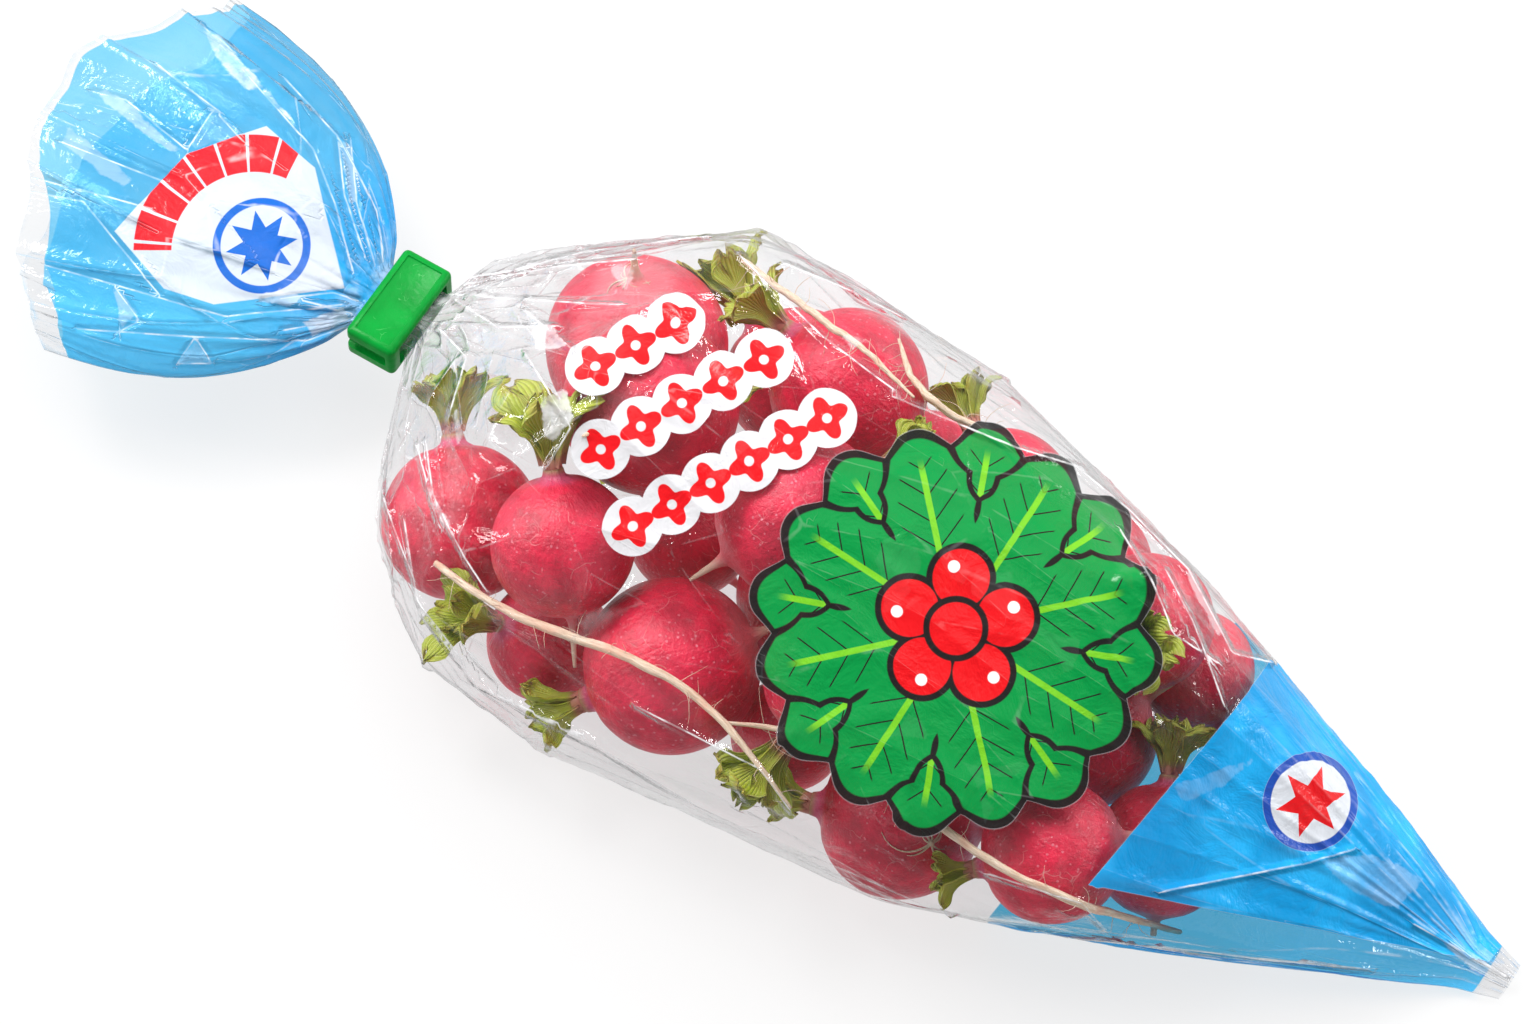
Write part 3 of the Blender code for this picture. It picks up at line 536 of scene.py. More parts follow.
class Tree:
    """Adds and links nodes in one node tree."""

    def __init__(self, tree):
        self.tree = tree

    def feed(self, node, inputs):
        """Link or set a node's inputs, given by name or number."""
        for key, value in inputs.items():
            socket = node.inputs[key]
            if isinstance(value, Wire):
                self.tree.links.new(value.socket, socket)
            elif hasattr(value, "__len__") and len(value) < len(socket.default_value):
                socket.default_value = (*value, 1.0)
            else:
                socket.default_value = value

    def node(self, kind, inputs=None, **settings):
        made = self.tree.nodes.new(kind)
        for key, value in settings.items():
            setattr(made, key, value)
        self.feed(made, inputs or {})
        return made

    def out(self, kind, output, inputs=None, **settings):
        """One output of a new node."""
        return Wire(self, self.node(kind, inputs, **settings).outputs[output])

    def outputs(self, kind, inputs=None, **settings):
        """All outputs of a new node."""
        return [Wire(self, socket) for socket in self.node(kind, inputs, **settings).outputs]

    def use(self, name, *values):
        """The outputs of a shared group that is fed these values."""
        return self.outputs("ShaderNodeGroup", dict(enumerate(values)), node_tree=shared_group(name))

    def math(self, operation, *values, **settings):
        return self.out("ShaderNodeMath", 0, dict(enumerate(values)), operation=operation, **settings)

    def highest(self, *values):
        return reduce(lambda first, second: self.math("MAXIMUM", first, second), values)

    def ramp(self, value, low, high, to_low=0.0, to_high=1.0):
        """From one value smoothly to another as the input goes from low to high."""
        limits = {"From Min": low, "From Max": high, "To Min": to_low, "To Max": to_high}
        return self.out("ShaderNodeMapRange", "Result", {"Value": value, **limits},
                        interpolation_type="SMOOTHSTEP")

    def under(self, value, limit, soften=0.1):
        """1 where a value is under a limit, with a soft edge."""
        return self.ramp(value, limit + soften, limit - soften)

    def over(self, value, limit, soften=0.1):
        return self.under(value, limit, -soften)

    def mix(self, share, first, second):
        """One colour shading into another."""
        return self.out("ShaderNodeMix", 2, {0: share, 6: first, 7: second}, data_type="RGBA")

    def coats(self, colour, *layers):
        """A colour under others, each as far as its mask says."""
        for mask, layer in layers:
            colour = self.mix(mask, colour, layer)
        return colour

    def blend(self, share, first, second):
        """One value shading into another."""
        return share * second + (1.0 - share) * first

    def noise(self, vector, scale, detail=3.0, roughness=0.5, distortion=0.0, output="Fac"):
        return self.out("ShaderNodeTexNoise", output, {
            "Vector": vector, "Scale": scale, "Detail": detail, "Roughness": roughness,
            "Distortion": distortion})

    def value(self, name, output="Fac"):
        """A value stored on the mesh."""
        return self.out("ShaderNodeAttribute", output, attribute_name=name)

    def place(self):
        return self.out("ShaderNodeTexCoord", "Object")

    def bump(self, height, strength, distance):
        return self.out("ShaderNodeBump", "Normal",
                        {"Height": height, "Strength": strength, "Distance": distance})

    def split(self, vector):
        return self.outputs("ShaderNodeSeparateXYZ", {"Vector": vector})

    def join(self, x, y):
        return self.out("ShaderNodeCombineXYZ", 0, {"X": x, "Y": y})

    def mix_shaders(self, share, first, second):
        return self.out("ShaderNodeMixShader", 0, {0: share, 1: first, 2: second})

    def show(self, surface):
        """Make a shader the material's surface."""
        self.feed(self.tree.nodes["Material Output"], {"Surface": surface})


def new_material(name):
    """A material, its node tree and its Principled shader."""
    material = bpy.data.materials.new(name)
    material.use_nodes = True
    return material, Tree(material.node_tree), material.node_tree.nodes["Principled BSDF"]


def darker(colour, share):
    return tuple(value * share for value in colour)


# Shared shader groups


def fill_specks(tree, vector, scale, size, amount):
    """Sparse small specks, more in some places than others."""
    distance = tree.out("ShaderNodeTexVoronoi", "Distance", {"Vector": vector, "Scale": scale})
    patch = tree.noise(vector, scale * 0.13, 1.0)
    return [tree.math("LESS_THAN", distance, size) * tree.math("LESS_THAN", patch, amount)]


def fill_scratches(tree, vector, scale, width, amount):
    """Short fine curved scratches."""
    warp = tree.noise(vector, scale * 0.8, 2.0, output="Color")
    shift = tree.out("ShaderNodeVectorMath", 0, {0: warp, "Scale": 1.1 / scale}, operation="SCALE")
    moved = tree.out("ShaderNodeVectorMath", 0, {0: vector, 1: shift}, operation="ADD")
    distance = tree.out("ShaderNodeTexVoronoi", "Distance", {"Vector": moved, "Scale": scale},
                        feature="DISTANCE_TO_EDGE")
    patch = tree.noise(vector, scale * 0.9, 2.0)
    return [tree.math("LESS_THAN", distance, width) * tree.ramp(patch, 1.0 - amount, 1.06 - amount)]


def local_axes(right, up, at, turn):
    """Coordinates about a point, turned by an angle in degrees."""
    ca, sa = math.cos(math.radians(turn)), math.sin(math.radians(turn))
    x, y = right - at[0], up - at[1]
    return x * ca + y * sa, y * ca - x * sa


def length_of(x, y):
    return x.tree.math("SQRT", x * x + y * y)


def petal_turn(x, y, petals):
    """Radius, and coordinates along and across the nearest of evenly turned petals."""
    tree, step = x.tree, ROUND / petals
    radius, angle = length_of(x, y), tree.math("ARCTAN2", y, x)
    off = angle - tree.math("ROUND", angle / step) * step
    return radius, radius * tree.math("COSINE", off), radius * tree.math("SINE", off)


def fill_bands(tree, place, red):
    """Three white scalloped bands, each with a row of red blossoms."""
    right, up, front = tree.split(place)
    discs, blossoms = [], []
    for at, count, pitch in BANDS:
        u, v = local_axes(right, up, at, BAND_TURN)
        odd, limit = (0.0 if count % 2 else 0.5), (count - 1) / 2.0
        index = tree.math("ROUND", u / pitch + odd) - odd
        index = tree.math("MAXIMUM", tree.math("MINIMUM", index, limit), -limit)
        along = u - index * pitch
        radius = length_of(along, v)
        petals = tree.math("COSINE", tree.math("ARCTAN2", v, along) * 4.0) * 0.85 + 3.05
        discs.append(tree.under(radius, 5.15))
        blossoms.append(tree.under(radius - petals, 0.0) * tree.over(radius, 0.85))
    return tree.mix(tree.highest(*blossoms), BAND_WHITE, red), tree.highest(*discs) * front


def fill_rosette(tree, place, dark, green, red):
    """A rosette: scalloped green petals with dark outlines round a ring of red discs."""
    right, up, front = tree.split(place)
    u, v = local_axes(right, up, (97.5, -55.5), 12.0)
    petals = []
    for turn, middle, long, wide in ((22.5, 23.0, 12.8, 8.4), (0.0, 20.5, 14.2, 8.9)):
        _, along, across = petal_turn(*local_axes(u, v, (0.0, 0.0), turn), 8)
        ragged = abs(tree.math("SINE", along * 0.62)) * 0.11 + 1.0
        edge = length_of((along - middle) / long, across / wide * ragged) - 1.0
        rib = tree.ramp(abs(across), 0.62, 0.45) * tree.ramp(along, middle + long * 0.65, middle + long * 0.4)
        veins = abs(tree.math("FRACT", (along - abs(across) * 0.9) / 4.6) - 0.5)
        veins = tree.ramp(veins, 0.455, 0.475) * tree.ramp(edge, -0.30, -0.36)
        fill = tree.coats(green, (veins, dark), (rib, (0.16, 0.50, 0.02)))
        petals.append((tree.under(edge, 0.0, 0.012), tree.mix(tree.ramp(edge, -0.10, -0.13), dark, fill)))
    radius, along, across = petal_turn(u, v, 5)
    along = along - 8.6
    disc = length_of(along, across)
    shine = tree.ramp(length_of(along - 1.8, across - 1.4), 1.15, 0.9)
    disc_fill = tree.mix(tree.under(disc, 4.9, 0.12), dark, tree.mix(shine, red, (0.90, 0.90, 0.92)))
    heart_fill = tree.mix(tree.under(radius, 4.5, 0.12), dark, red)
    layers = petals + [(tree.under(disc, 6.0, 0.12), disc_fill), (tree.under(radius, 5.6, 0.12), heart_fill)]
    return tree.coats(dark, *layers), tree.highest(*[mask for mask, _ in layers]) * front


def fill_creases_and_glare(tree, place, lines, weights, haze):
    """White and height of the film's creases, from what its points store. The white is partly film whitened
    along creases and crumple cell edges, partly painted highlights on them, painted reflections on flat
    facets and painted glare with milky whitening near the neck.
    """
    ragged_noise = tree.noise(place, 130.0, 4.0, 0.65)
    broken = tree.ramp(tree.noise(place, 260.0, 2.0), 0.38, 0.60)
    cell, line, depth = tree.split(lines)
    cell_weight, line_weight, white = tree.split(weights)
    cell, line = abs(cell), abs(line)
    thin = tree.ramp(cell, 0.20, 0.02) * cell_weight * broken
    sharp = tree.ramp(line, 0.26, 0.04) * line_weight * tree.blend(broken, 0.35, 1.0)
    glare_facet = tree.ramp(depth + (ragged_noise - 0.5) * 3.2, -0.05, 0.45) * white
    glare_facet = glare_facet * tree.ramp(ragged_noise, 0.30, 0.62, 0.35, 1.0)
    # White painted here: crease lines and cell edges as whitened film with painted highlights, flat facets as
    # painted reflections, and painted glare with milky whitening where the points store it
    shown = tree.highest(thin * 0.55, sharp * 0.80, glare_facet, haze * tree.ramp(ragged_noise, 0.40, 0.70))
    height = tree.ramp(cell, 1.1, 0.0) * cell_weight * 0.55 + tree.ramp(line, 1.3, 0.0) * line_weight
    return tree.math("MINIMUM", shown, 0.92), height + ragged_noise * 0.35


GROUPS = {
    "Specks": (fill_specks, "Vector Scale Size Amount", "Mask"),
    "Scratches": (fill_scratches, "Vector Scale Width Amount", "Mask"),
    "Blossom bands": (fill_bands, "Place Red", "Color Mask"),
    "Rosette": (fill_rosette, "Place Dark Green Red", "Color Mask"),
    "Film creases": (fill_creases_and_glare, "Vector Lines Weights Haze", "White Height"),
}
# Kinds of the groups' sockets. The rest hold one value
SOCKET_KINDS = dict.fromkeys(("Vector", "Place", "Lines", "Weights"), "NodeSocketVector")
SOCKET_KINDS.update(dict.fromkeys(("Color", "Dark", "Green", "Red"), "NodeSocketColor"))


def shared_group(name):
    """A shader group, built once: its fill function gives what its outputs put out."""
    made = bpy.data.node_groups.get(name)
    if made is None:
        fill, *sides = GROUPS[name]
        made = bpy.data.node_groups.new(name, "ShaderNodeTree")
        for way, keys in zip(("INPUT", "OUTPUT"), sides):
            for key in keys.split():
                kind = SOCKET_KINDS.get(key, "NodeSocketFloat")
                made.interface.new_socket(key, in_out=way, socket_type=kind)
        tree = Tree(made)
        given = tree.outputs("NodeGroupInput")[:len(sides[0].split())]
        tree.node("NodeGroupOutput", dict(enumerate(fill(tree, *given))))
    return made


# Radishes


def skin_material(settings):
    """Crimson radish skin: mottled, streaked from crown to root, flecked and finely scratched."""
    material, tree, shader = new_material("radish_skin")
    place, around, along = tree.place(), tree.value("around", "Vector"), tree.value("along")
    mottle = tree.noise(place, 160.0, 6.0, 0.68)
    broad = tree.noise(place, 38.0, 2.0)
    streaks = tree.noise(around, 5.0, 5.0, 0.62)
    grain = tree.noise(place, 1700.0, 2.0)
    pits = tree.noise(place, 560.0, 4.0, 0.7)
    specks, = tree.use("Specks", place, 760.0, 0.19, 0.54)
    scratches, = tree.use("Scratches", place, 210.0, 0.012, 0.46)
    fine, = tree.use("Scratches", around, 3.2, 0.006, 0.30)
    marks = tree.highest(scratches, fine)
    uneven = streaks - 0.5
    colour = tree.coats(
        darker(settings.skin, 0.55),
        (tree.ramp(mottle, 0.30, 0.72), tuple(settings.skin)),
        (tree.ramp(streaks, 0.50, 0.85, 0.0, 0.35), (0.80, 0.075, 0.150)),
        (tree.ramp(broad, 0.52, 0.75, 0.0, 0.45), (0.78, 0.040, 0.100)),
        (specks * 0.42, (0.86, 0.34, 0.42)),
        (marks * 0.30, (0.88, 0.46, 0.46)),
        (tree.ramp(along + uneven * 0.16, 0.90, 1.03) * 0.55, (0.80, 0.22, 0.26)),
        (tree.ramp(along, 1.10, 1.60), (0.82, 0.62, 0.46)),
        (tree.ramp(along + uneven * 0.10, 0.12, 0.02) * 0.8, (0.62, 0.10, 0.22)),
        (tree.ramp(along, 0.035, 0.015) * 0.8, (0.33, 0.30, 0.08)))
    height = grain * 0.30 + pits - marks * 0.30 + specks * 0.25 + streaks * 0.8
    tree.feed(shader, {
        "Base Color": colour, "Roughness": grain * 0.12 + marks * 0.2 + 0.31,
        "Normal": tree.bump(height, 0.75, 0.0005), "Specular IOR Level": 0.7,
        "Subsurface Weight": 0.06, "Subsurface Radius": (0.004, 0.0012, 0.0012), "Subsurface Scale": 1.0})
    return material


def globe_profile(radius):
    """Middle and half width, ring by ring, from the knob's top to the tail, along the crown axis."""
    rings = [(KNOB, 0.0), (KNOB, 0.07), (1.118, 0.115), (1.10, 0.142), (1.06, 0.150), (1.02, 0.160),
             (0.99, 0.185)]
    for turn in np.linspace(15.0, 156.0, 46):
        flat = 1.0 - 0.022 * math.exp(-((turn - 14.0) / 9.0) ** 2)
        rings.append((math.cos(math.radians(turn)) * flat, math.sin(math.radians(turn))))
    return np.array(rings) * radius


def make_globe(letter, settings, material):
    """One radish: a slightly uneven globe with its knob and its tapering tail."""
    centre, radius, crown, tail = (GLOBES[letter][key] for key in ("centre", "radius", "crown", "tail"))
    random = np.random.default_rng(LETTERS.index(letter) + 40)
    side, square = square_axes(crown)
    columns = settings.columns
    profile = globe_profile(radius)
    middles, widths = centre + crown * profile[:, :1], profile[:, 1]
    end_width = 0.9 if letter in ROOT_WIDTHS else 0.5
    rest = ((middles[-1], widths[-1]), (centre - crown * 0.968 * radius, 0.220 * radius),
            (centre - crown * 1.0 * radius, 0.125 * radius), (tail[0], 0.085 * radius),
            (tail[1], 0.045 * radius), (tail[1] * 0.5 + tail[2] * 0.5, 0.022 * radius + end_width * 0.4),
            (tail[2], end_width * 0.55))
    rest = smooth_course([(*middle, width) for middle, width in rest], 22)[1:]
    middles = np.vstack((middles, rest[:, :3]))
    widths = np.concatenate((widths, rest[:, 3]))
    count = len(middles)
    rings = np.arange(count)
    turns = turns_round(columns)
    polar = rings[:, None] / (count - 1) * math.pi
    bulge = np.zeros((count, columns))
    for wave in range(5):
        phase, drift = random.uniform(0, ROUND, 2)
        bulge += np.cos((wave % 3 + 1) * turns[None] + phase) * np.sin(polar * (wave + 1) + drift)
    bulge *= settings.unevenness / 2.2
    near_knob = np.exp(-((rings - 7.0) / 5.0) ** 2)[:, None]
    groove = near_knob * 0.03 * np.cos(turns[None] * 7 + random.uniform(0, 6.0))
    out = np.maximum(widths[:, None] * (1.0 + bulge - groove), 0.0)
    points = (middles[:, None] + side * (out * np.cos(turns))[:, :, None]
              + square * (out * np.sin(turns))[:, :, None])
    # 0 to 0.04 over the knob, to 0.98 over the globe, and 1 to 2 down the tail
    along = np.where(rings <= 6, rings / 6.0 * 0.04, np.clip((rings - 6.0) / 46.0, 0.0, 1.0) * 0.94 + 0.04)
    along = np.where(rings > 52, 0.98 + (rings - 52) / (count - 53.0), along)
    offset = random.uniform(0.0, 40.0, 3)
    around = np.stack((np.tile(np.cos(turns), count), np.tile(np.sin(turns), count),
                       np.repeat(along, columns) * 0.35), axis=1) + offset
    parts = MeshParts()
    faces = ring_faces(count, columns) + [tuple(range((count - 1) * columns, count * columns))]
    parts.add(points.reshape(-1, 3), faces, along=np.repeat(along, columns), around=around)
    close_poles(parts.build(f"globe_{letter}", material, (f"radish_{letter}",)))


def close_poles(thing):
    """Merge rings that have shrunk to a point, and point all faces out."""
    bm = bmesh.new()
    bm.from_mesh(thing.data)
    bmesh.ops.remove_doubles(bm, verts=bm.verts, dist=1e-6)
    bmesh.ops.recalc_face_normals(bm, faces=bm.faces)
    bm.to_mesh(thing.data)
    bm.free()


class RADISH_OT_globes(bpy.types.Operator):
    """Make the radishes"""
    bl_idname = "radish_bag.globes"
    bl_label = "Radishes"

    def execute(self, context):
        settings = context.scene.radish_heap
        material = skin_material(settings)
        for letter in LETTERS:
            make_globe(letter, settings, material)
        return {"FINISHED"}


# Leaf stubs


def leaf_material(settings):
    """Cut radish stalks: ribbed yellow green, paler on the ribs with painted shade in the folds between them,
    pink at the foot, brown rims.
    """
    material, tree, shader = new_material("leaf_stub")
    place, rise, across = tree.place(), tree.value("rise"), tree.value("across")
    mottle = tree.noise(place, 420.0, 4.0, 0.6)
    patches = tree.noise(place, 150.0, 2.0)
    ribs = tree.out("ShaderNodeTexWave", "Fac", {
        "Vector": tree.join(across, rise * 0.4), "Scale": 2.1, "Distortion": 1.6, "Detail": 2.0,
        "Detail Scale": 2.0}, wave_type="BANDS", bands_direction="X")
    specks, = tree.use("Specks", place, 1300.0, 0.20, 0.44)
    colour = tree.coats(
        tuple(settings.leaf),
        (tree.ramp(mottle, 0.30, 0.72), (0.42, 0.48, 0.055)),
        (tree.ramp(patches, 0.54, 0.76, 0.0, 0.5), (0.28, 0.40, 0.03)),
        # Paler ribs: partly the stalks' own pale ribs, partly painted shade in the folds between them
        (tree.ramp(ribs, 0.60, 0.98, 0.0, 0.45), (0.58, 0.62, 0.18)),
        (tree.ramp(rise + (patches - 0.5) * 0.35, 0.26, 0.03) * 0.75, (0.50, 0.09, 0.16)),
        (tree.ramp(rise + mottle * 0.10, 0.98, 1.05) * 0.55, (0.36, 0.22, 0.05)),
        (specks * 0.45, (0.20, 0.09, 0.02)))
    tree.feed(shader, {
        "Base Color": colour, "Roughness": tree.ramp(mottle, 0.3, 0.7, 0.38, 0.55),
        "Normal": tree.bump(ribs + mottle * 0.8, 0.6, 0.0003), "Subsurface Weight": 0.15,
        "Subsurface Radius": (0.0015, 0.002, 0.0005), "Subsurface Scale": 1.0})
    return material


def add_stalk(parts, base, out, up, length, width, lean, wall, radii, random):
    """One cut leaf stalk: a cupped strip that widens to a ruffled, rounded lobe."""
    rows, columns = 17, 11
    share = np.linspace(0.0, 1.0, rows)
    across = np.linspace(-1.0, 1.0, columns)
    down, over = share[:, None], across[None]
    angle = lean * (0.25 + 0.75 * share) + random.uniform(0.0, 0.7) * share ** 3
    direction = up[None] * np.cos(angle)[:, None] + out[None] * np.sin(angle)[:, None]
    centre = base + np.vstack((np.zeros(3), np.cumsum(direction[:-1], axis=0) * length / (rows - 1)))
    side = np.cross(up, out)
    normal = np.cross(side[None], direction)
    half = width * (0.30 + 0.10 * share + 0.62 * smoothstep(0.30, 0.85, share))
    half = half * np.sqrt(np.clip(1.0 - (np.clip(share - 0.80, 0.0, 1.0) / 0.215) ** 2, 0.04, 1.0))
    cup = half * (0.75 - 0.45 * share)
    waves = random.uniform(2.2, 3.6)
    phase = random.uniform(0.0, 6.3, 2)
    ruffle = (0.16 * width * down ** 2 * np.abs(over)
              * np.sin(waves * math.pi * down * 1.7 + phase[0] + over * 2.2))
    ruffle += 0.10 * width * down ** 3 * np.sin(over * waves * 2.6 + phase[1])
    wide = half[:, None] * np.sin(over * 1.35) / math.sin(1.35)
    deep = cup[:, None] * (over ** 2 - 0.45) + ruffle
    middle = centre[:, None] + side * wide[:, :, None] + normal[:, None] * deep[:, :, None]
    notch = 0.10 * length * np.cos(over * math.pi * random.uniform(1.2, 2.4) + phase[0])
    middle += direction[:, None] * (notch * down ** 4)[:, :, None]
    middle = clear_of(middle.reshape(-1, 3), radii).reshape(rows, columns, 3)
    face_normal = np.cross(np.gradient(middle, axis=0), np.gradient(middle, axis=1))
    face_normal /= np.maximum(np.linalg.norm(face_normal, axis=2), 1e-9)[:, :, None]
    thick = wall * (1.25 - 0.5 * down) * (1.0 - 0.55 * np.abs(over) ** 3)
    half_wall = face_normal * thick[:, :, None] / 2.0
    faces = ring_faces(rows, columns, closed=False)
    sheet = rows * columns
    faces += [tuple(sheet + corner for corner in reversed(face)) for face in faces]
    index = np.arange(sheet).reshape(rows, columns)
    border = [*index[0], *index[1:, -1], *index[-1, -2::-1], *index[-2:0:-1, 0]]
    faces += [(here, after, after + sheet, here + sheet) for here, after in zip(border, np.roll(border, -1))]
    points = np.vstack(((middle + half_wall).reshape(-1, 3), (middle - half_wall).reshape(-1, 3)))
    parts.add(points, faces, rise=np.tile(np.repeat(share, columns), 2),
              across=np.tile(across, rows * 2) + random.uniform(0, 20))


def make_tuft(letter, settings, material):
    """The cut leaf stalks of one radish, round and on its crown."""
    own = LETTERS.index(letter)
    random = np.random.default_rng(own + 90)
    centre, radius, crown = CENTRES[own], RADII[own], GLOBES[letter]["crown"]
    base = centre + crown * KNOB * radius
    rise = (node_points(f"leaf_stubs_{letter}") - base) @ crown
    length = float(np.sort(rise)[-4:].mean())
    side, square = square_axes(crown)
    radii = RADII + 0.5
    radii[own] = radius + 0.25
    parts = MeshParts()
    foot = np.array([base + crown * height for height in (-0.8, 0.4, 1.5, 2.2)])
    tube(parts, foot, np.array((0.135, 0.13, 0.12, 0.06)) * radius, 14, rise=(0.0, 0.02, 0.08, 0.14),
         across=0.3)
    start = random.uniform(0.0, 6.28)
    for stalk in range(settings.stalks):
        turn = start + stalk * 2.39996 + random.uniform(-0.2, 0.2)
        rank = stalk / (settings.stalks - 1.0)
        lean = math.radians(12.0 + 50.0 * rank + random.uniform(-6, 6))
        out = side * math.cos(turn) + square * math.sin(turn)
        reach = length * (1.0 - 0.20 * rank) * random.uniform(0.85, 1.05) / (0.35 + 0.65 * math.cos(lean))
        width = 0.30 * length * random.uniform(0.85, 1.25) * (0.75 + 0.35 * rank)
        foot_at = base + out * (0.03 + 0.08 * rank) * radius + crown * 0.3
        add_stalk(parts, foot_at, out, crown, min(reach, length * 1.25), width, lean,
                  settings.stalk_wall / MM, radii, random)
    parts.build(f"leaf_tuft_{letter}", material, (f"leaf_stubs_{letter}",), 0.6)


class RADISH_OT_tufts(bpy.types.Operator):
    """Make the cut leaf stalks"""
    bl_idname = "radish_bag.tufts"
    bl_label = "Leaf stubs"

    def execute(self, context):
        settings = context.scene.radish_heap
        material = leaf_material(settings)
        for letter in LETTERS:
            make_tuft(letter, settings, material)
        return {"FINISHED"}


# Long roots


def root_material(settings):
    """Long roots: cream to peach, fibrous along their length."""
    material, tree, shader = new_material("root")
    fibre = tree.noise(tree.join(tree.value("across"), tree.value("rise") * 9.0), 3.0, 4.0, 0.65)
    mottle = tree.noise(tree.place(), 160.0)
    colour = tree.coats(darker(settings.root, 0.72), (tree.ramp(fibre, 0.3, 0.75), (0.90, 0.76, 0.60)),
                        (tree.ramp(mottle, 0.50, 0.75, 0.0, 0.7), (0.80, 0.40, 0.28)))
    tree.feed(shader, {
        "Base Color": colour, "Roughness": tree.ramp(fibre, 0.3, 0.7, 0.45, 0.65),
        "Normal": tree.bump(fibre, 0.7, 0.00025), "Subsurface Weight": 0.12,
        "Subsurface Radius": (0.002, 0.0012, 0.0008), "Subsurface Scale": 1.0})
    return material


def add_hair(parts, start, direction, length, width, random):
    """A fine curled root hair."""
    count = 10
    bend = random.normal(0.0, 1.0, 3)
    bend -= direction * (bend @ direction)
    path = [start]
    heading = direction
    for _ in range(count - 1):
        heading = heading + bend * 0.16 + random.normal(0.0, 0.12, 3)
        heading /= np.linalg.norm(heading)
        path.append(path[-1] + heading * length / (count - 1))
    tube(parts, np.array(path), np.linspace(1.0, 0.4, count) * width, 4, rise=np.linspace(0.0, 1.0, count),
         across=random.uniform(0, 9))


def make_long_root(letter, thickness, material):
    """A long taproot with fine hairs."""
    random = np.random.default_rng(LETTERS.index(letter) + 140)
    solid = read_path(f"taproot_{letter}")
    ends = np.linalg.norm(solid[[0, -1]] - GLOBES[letter]["centre"], axis=1)
    if ends[1] < ends[0]:
        solid = solid[::-1]
    count, columns = 150, 12
    path = smooth_course(solid, count)
    share = np.linspace(0.0, 1.0, count)
    wobble = np.zeros((count, 3))
    for wave in (3, 7, 13, 24):
        wobble += np.sin(share[:, None] * wave * 6.28 + random.uniform(0, 6.28, 3)[None]) * 0.5 / wave
    path = path + wobble * np.sin(share * math.pi)[:, None]
    path = clear_of(path, RADII + thickness / 2.0 + 0.1)
    widths = thickness / 2.0 * (0.30 + 0.70 * np.sin(np.pi * (0.12 + 0.86 * share)) ** 0.7)
    widths *= 1.0 + 0.10 * np.sin(share * 41.0) * np.sin(share * 17.0 + 1.0)
    turns = turns_round(columns)
    ridges = 1.0 + 0.10 * np.cos(turns * 3)[None] + 0.08 * np.cos(turns[None] * 5 + share[:, None] * 9.0)
    parts = MeshParts()
    tube(parts, path, widths[:, None] * ridges, columns, rise=share, across=turns[None] * 0.6)
    for _ in range(26):
        at = int(random.integers(8, count - 4))
        out = random.normal(0.0, 1.0, 3) + BACK * 0.3
        along = path[at + 1] - path[at - 1]
        along /= np.linalg.norm(along)
        out -= along * (out @ along)
        out = out / np.linalg.norm(out) + along * random.uniform(-0.8, 0.8)
        add_hair(parts, path[at], out / np.linalg.norm(out), random.uniform(3.0, 8.0), 0.075, random)
    parts.build(f"long_root_{letter}", material, (f"taproot_{letter}",), 0.5)


def make_scar(letter, right, up, material):
    """A pale root scar with rootlets that spread over the skin, where it shows in the view."""
    centre, radius = GLOBES[letter]["centre"], GLOBES[letter]["radius"]
    random = np.random.default_rng(LETTERS.index(letter) + 170)
    shift = np.array((right, up)) - in_view(centre)
    depth = math.sqrt(max(radius ** 2 - shift @ shift, 1.0))
    outward = shift[0] * RIGHT + shift[1] * UP + depth * BACK
    outward /= np.linalg.norm(outward)
    side, square = square_axes(outward)
    steps = np.linspace(0.0, 1.0, 10)
    parts = MeshParts()
    for rootlet in range(9):
        turn = rootlet * 0.698 + random.uniform(-0.25, 0.25)
        reach = random.uniform(2.2, 5.5) if rootlet else 9.0
        bearing = turn + random.uniform(-0.8, 0.8) * steps[:, None] ** 2
        angle = steps[:, None] * reach / radius
        spread = side * np.cos(bearing) + square * np.sin(bearing)
        path = centre + (outward * np.cos(angle) + spread * np.sin(angle)) * (radius + 0.10)
        tube(parts, path, np.linspace(0.24, 0.06, 10), 5, rise=steps, across=rootlet)
    stump = np.array([centre + outward * (radius + height) for height in (-0.3, 0.2, 0.6)])
    tube(parts, stump, (0.75, 0.6, 0.25), 9, rise=(0.0, 0.5, 1.0), across=0.5)
    parts.build(f"root_scar_{letter}", material)


class RADISH_OT_roots(bpy.types.Operator):
    """Make the long roots, their hairs and the root scars"""
    bl_idname = "radish_bag.roots"
    bl_label = "Roots"

    def execute(self, context):
        material = root_material(context.scene.radish_heap)
        for letter, thickness in ROOT_WIDTHS.items():
            make_long_root(letter, thickness, material)
        for letter, (right, up) in SCARS.items():
            make_scar(letter, right, up, material)
        return {"FINISHED"}


# Film


def hull_planes(points):
    """Outward normals and offsets of the planes of a convex hull."""
    bm = bmesh.new()
    for point in points:
        bm.verts.new(point)
    bmesh.ops.convex_hull(bm, input=bm.verts)
    middle = Vector(points.mean(axis=0))
    normals, offsets = [], []
    for face in bm.faces:
        face.normal_update()
        if face.normal.length < 0.5:
            continue
        normal = face.normal if face.normal.dot(face.verts[0].co - middle) > 0 else -face.normal
        normals.append(normal[:])
        offsets.append(normal.dot(face.verts[0].co))
    bm.free()
    return np.array(normals), np.array(offsets)


